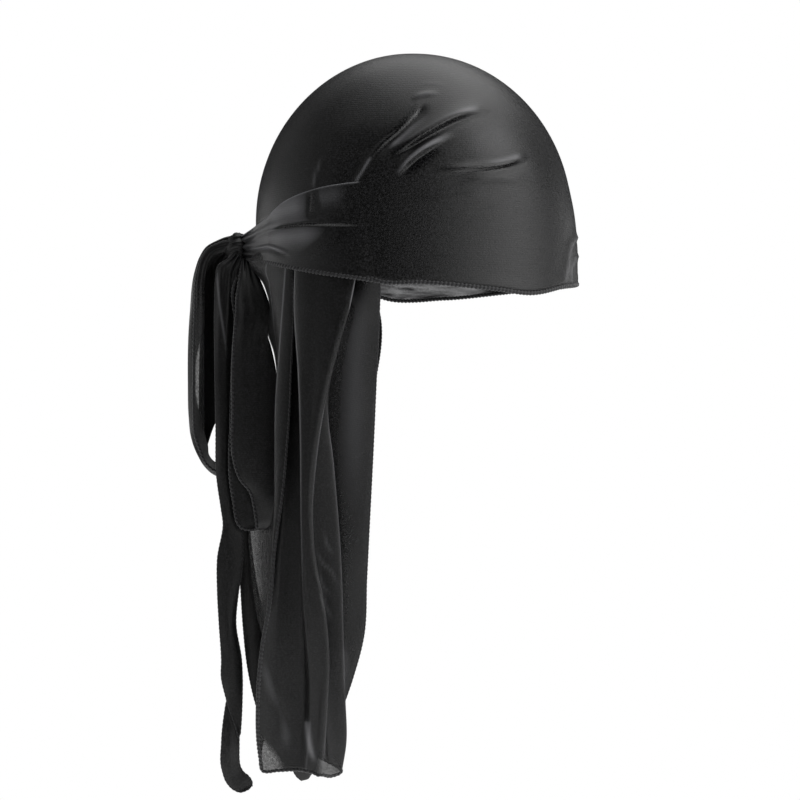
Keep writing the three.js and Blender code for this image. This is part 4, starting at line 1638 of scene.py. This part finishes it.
@dataclass
class Studio:
    """A level camera on the wearer's right, a white floor and a ring of soft boxes.

    All the boxes hang at one distance from the piece and face it. Sizes are in metres.
    """

    distance: float = 1.0
    aim: tuple[float, float] = (-0.00875, -0.2139)
    lens: float = 72.0
    sensor: float = 36.0
    floor: float = -0.62
    floor_half: float = 0.62
    floor_glow: float = 0.6
    reach: float = 1.3
    box: float = 0.6
    centre: tuple[float, float, float] = (-0.02, 0.0, -0.15)
    fill: float = 0.01

    def camera(self) -> None:
        """Makes the camera, level and square to the wearer's side."""
        made = bpy.data.objects.new("camera", bpy.data.cameras.new("camera"))
        made.data.lens = self.lens
        made.data.sensor_width = self.sensor
        made.location = (self.aim[0], -self.distance, self.aim[1])
        made.rotation_euler = (math.pi / 2, 0, 0)
        bpy.context.scene.collection.objects.link(made)
        bpy.context.scene.camera = made

    def light(self) -> None:
        """Makes the soft boxes, each turned to the cap."""
        for name, (height, turn, power) in LIGHTS.items():
            up, about = math.radians(height), math.radians(turn)
            level = math.cos(up)
            out = Vector((level * math.cos(about), level * math.sin(about), math.sin(up)))
            data = bpy.data.lights.new(name, "AREA")
            data.shape, data.size, data.energy = "SQUARE", self.box, power
            lamp = bpy.data.objects.new(name, data)
            lamp.location = Vector(self.centre) + out * self.reach
            lamp.rotation_euler = (-out).to_track_quat("-Z", "Y").to_euler()
            bpy.context.scene.collection.objects.link(lamp)

    def surroundings(self) -> None:
        """Makes a white studio: bright to look at, and a soft grey fill for the cloth."""
        world = bpy.data.worlds.new("studio")
        world.use_nodes = True
        tree = world.node_tree
        tree.nodes.clear()
        white = {"Color": (1, 1, 1, 1)}
        seen = add(tree, "Background", white | {"Strength": 1.0}).outputs[0]
        fill = add(tree, "Background", white | {"Strength": self.fill}).outputs[0]
        ray = add(tree, "LightPath").outputs["Is Camera Ray"]
        both = add(tree, "MixShader", links={0: ray, 1: fill, 2: seen})
        add(tree, "OutputWorld", links={"Surface": both.outputs[0]})
        bpy.context.scene.world = world

    def ground(self) -> None:
        """Makes a plain white floor, far enough down to stay out of the level view."""
        mesh = bpy.data.meshes.new("floor")
        around = ((-1, -1), (1, -1), (1, 1), (-1, 1))
        square = [(x * self.floor_half, y * self.floor_half, self.floor) for x, y in around]
        mesh.from_pydata(square, [], [(0, 1, 2, 3)])
        made = bpy.data.objects.new("floor", mesh)
        paint = bpy.data.materials.new("floor_paint")
        paint.use_nodes = True
        shader = paint.node_tree.nodes["Principled BSDF"]
        shader.inputs["Base Color"].default_value = linear("#f4f4f4")
        shader.inputs["Roughness"].default_value = 0.9
        shader.inputs["Emission Color"].default_value = (1, 1, 1, 1)
        shader.inputs["Emission Strength"].default_value = self.floor_glow
        mesh.materials.append(paint)
        bpy.context.scene.collection.objects.link(made)

    def build(self) -> None:
        """Makes the stage."""
        self.light()
        self.surroundings()
        self.ground()
        bpy.context.scene.view_settings.view_transform = "Standard"


def bands(kit: Kit) -> tuple[Band, ...]:
    """Lists the strips of the bow.

    Args:
        kit: the finishes.

    Returns:
        The two loops and the two free ends.
    """
    one_end = {"gather_ends": (True, False)}
    return (
        Band(
            kit, "loop_outer_cloth", OUTER_LOOP, (0.011, 0.31), "bow_loop_outer",
            hems=(0.4,), thin_from=0.44, thin_heights=(-162, -238), folds=LOOP_FOLDS,
        ),
        Band(kit, "loop_outer_inside", OUTER_LOOP_BACK, (0.0115, 0.165), hems=(), **one_end),
        Band(
            kit, "loop_front_cloth", FRONT_LOOP, (0.02, 0.335), "bow_loop_front", hems=(0.0,)
        ),
        Band(
            kit, "end_long_cloth", LONG_END, (0.0125, 0.285), "tie_end_long",
            hem_width=0.5, folds=END_FOLDS, **one_end,
        ),
        Band(
            kit, "end_long_tip", LONG_END_TIP, (0.01, 0.072),
            hem_width=0.5, gather_ends=(False, False),
        ),
        Band(
            kit, "end_short_cloth", SHORT_END, (0.0135, 0.315), "tie_end_short",
            hem_width=0.5, **one_end,
        ),
    )


def main() -> None:
    """Builds the stage and every piece."""
    logging.basicConfig(level=logging.INFO, format="%(name)s: %(message)s")
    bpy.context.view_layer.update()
    studio = Studio()
    studio.camera()
    kit = Kit.make()
    for piece in (
        Crown(kit), Strap(kit, Side.RIGHT), Strap(kit, Side.LEFT), Knot(kit), *bands(kit), Tail(kit)
    ):
        piece.build()
    studio.build()


if __name__ == "__main__":
    main()
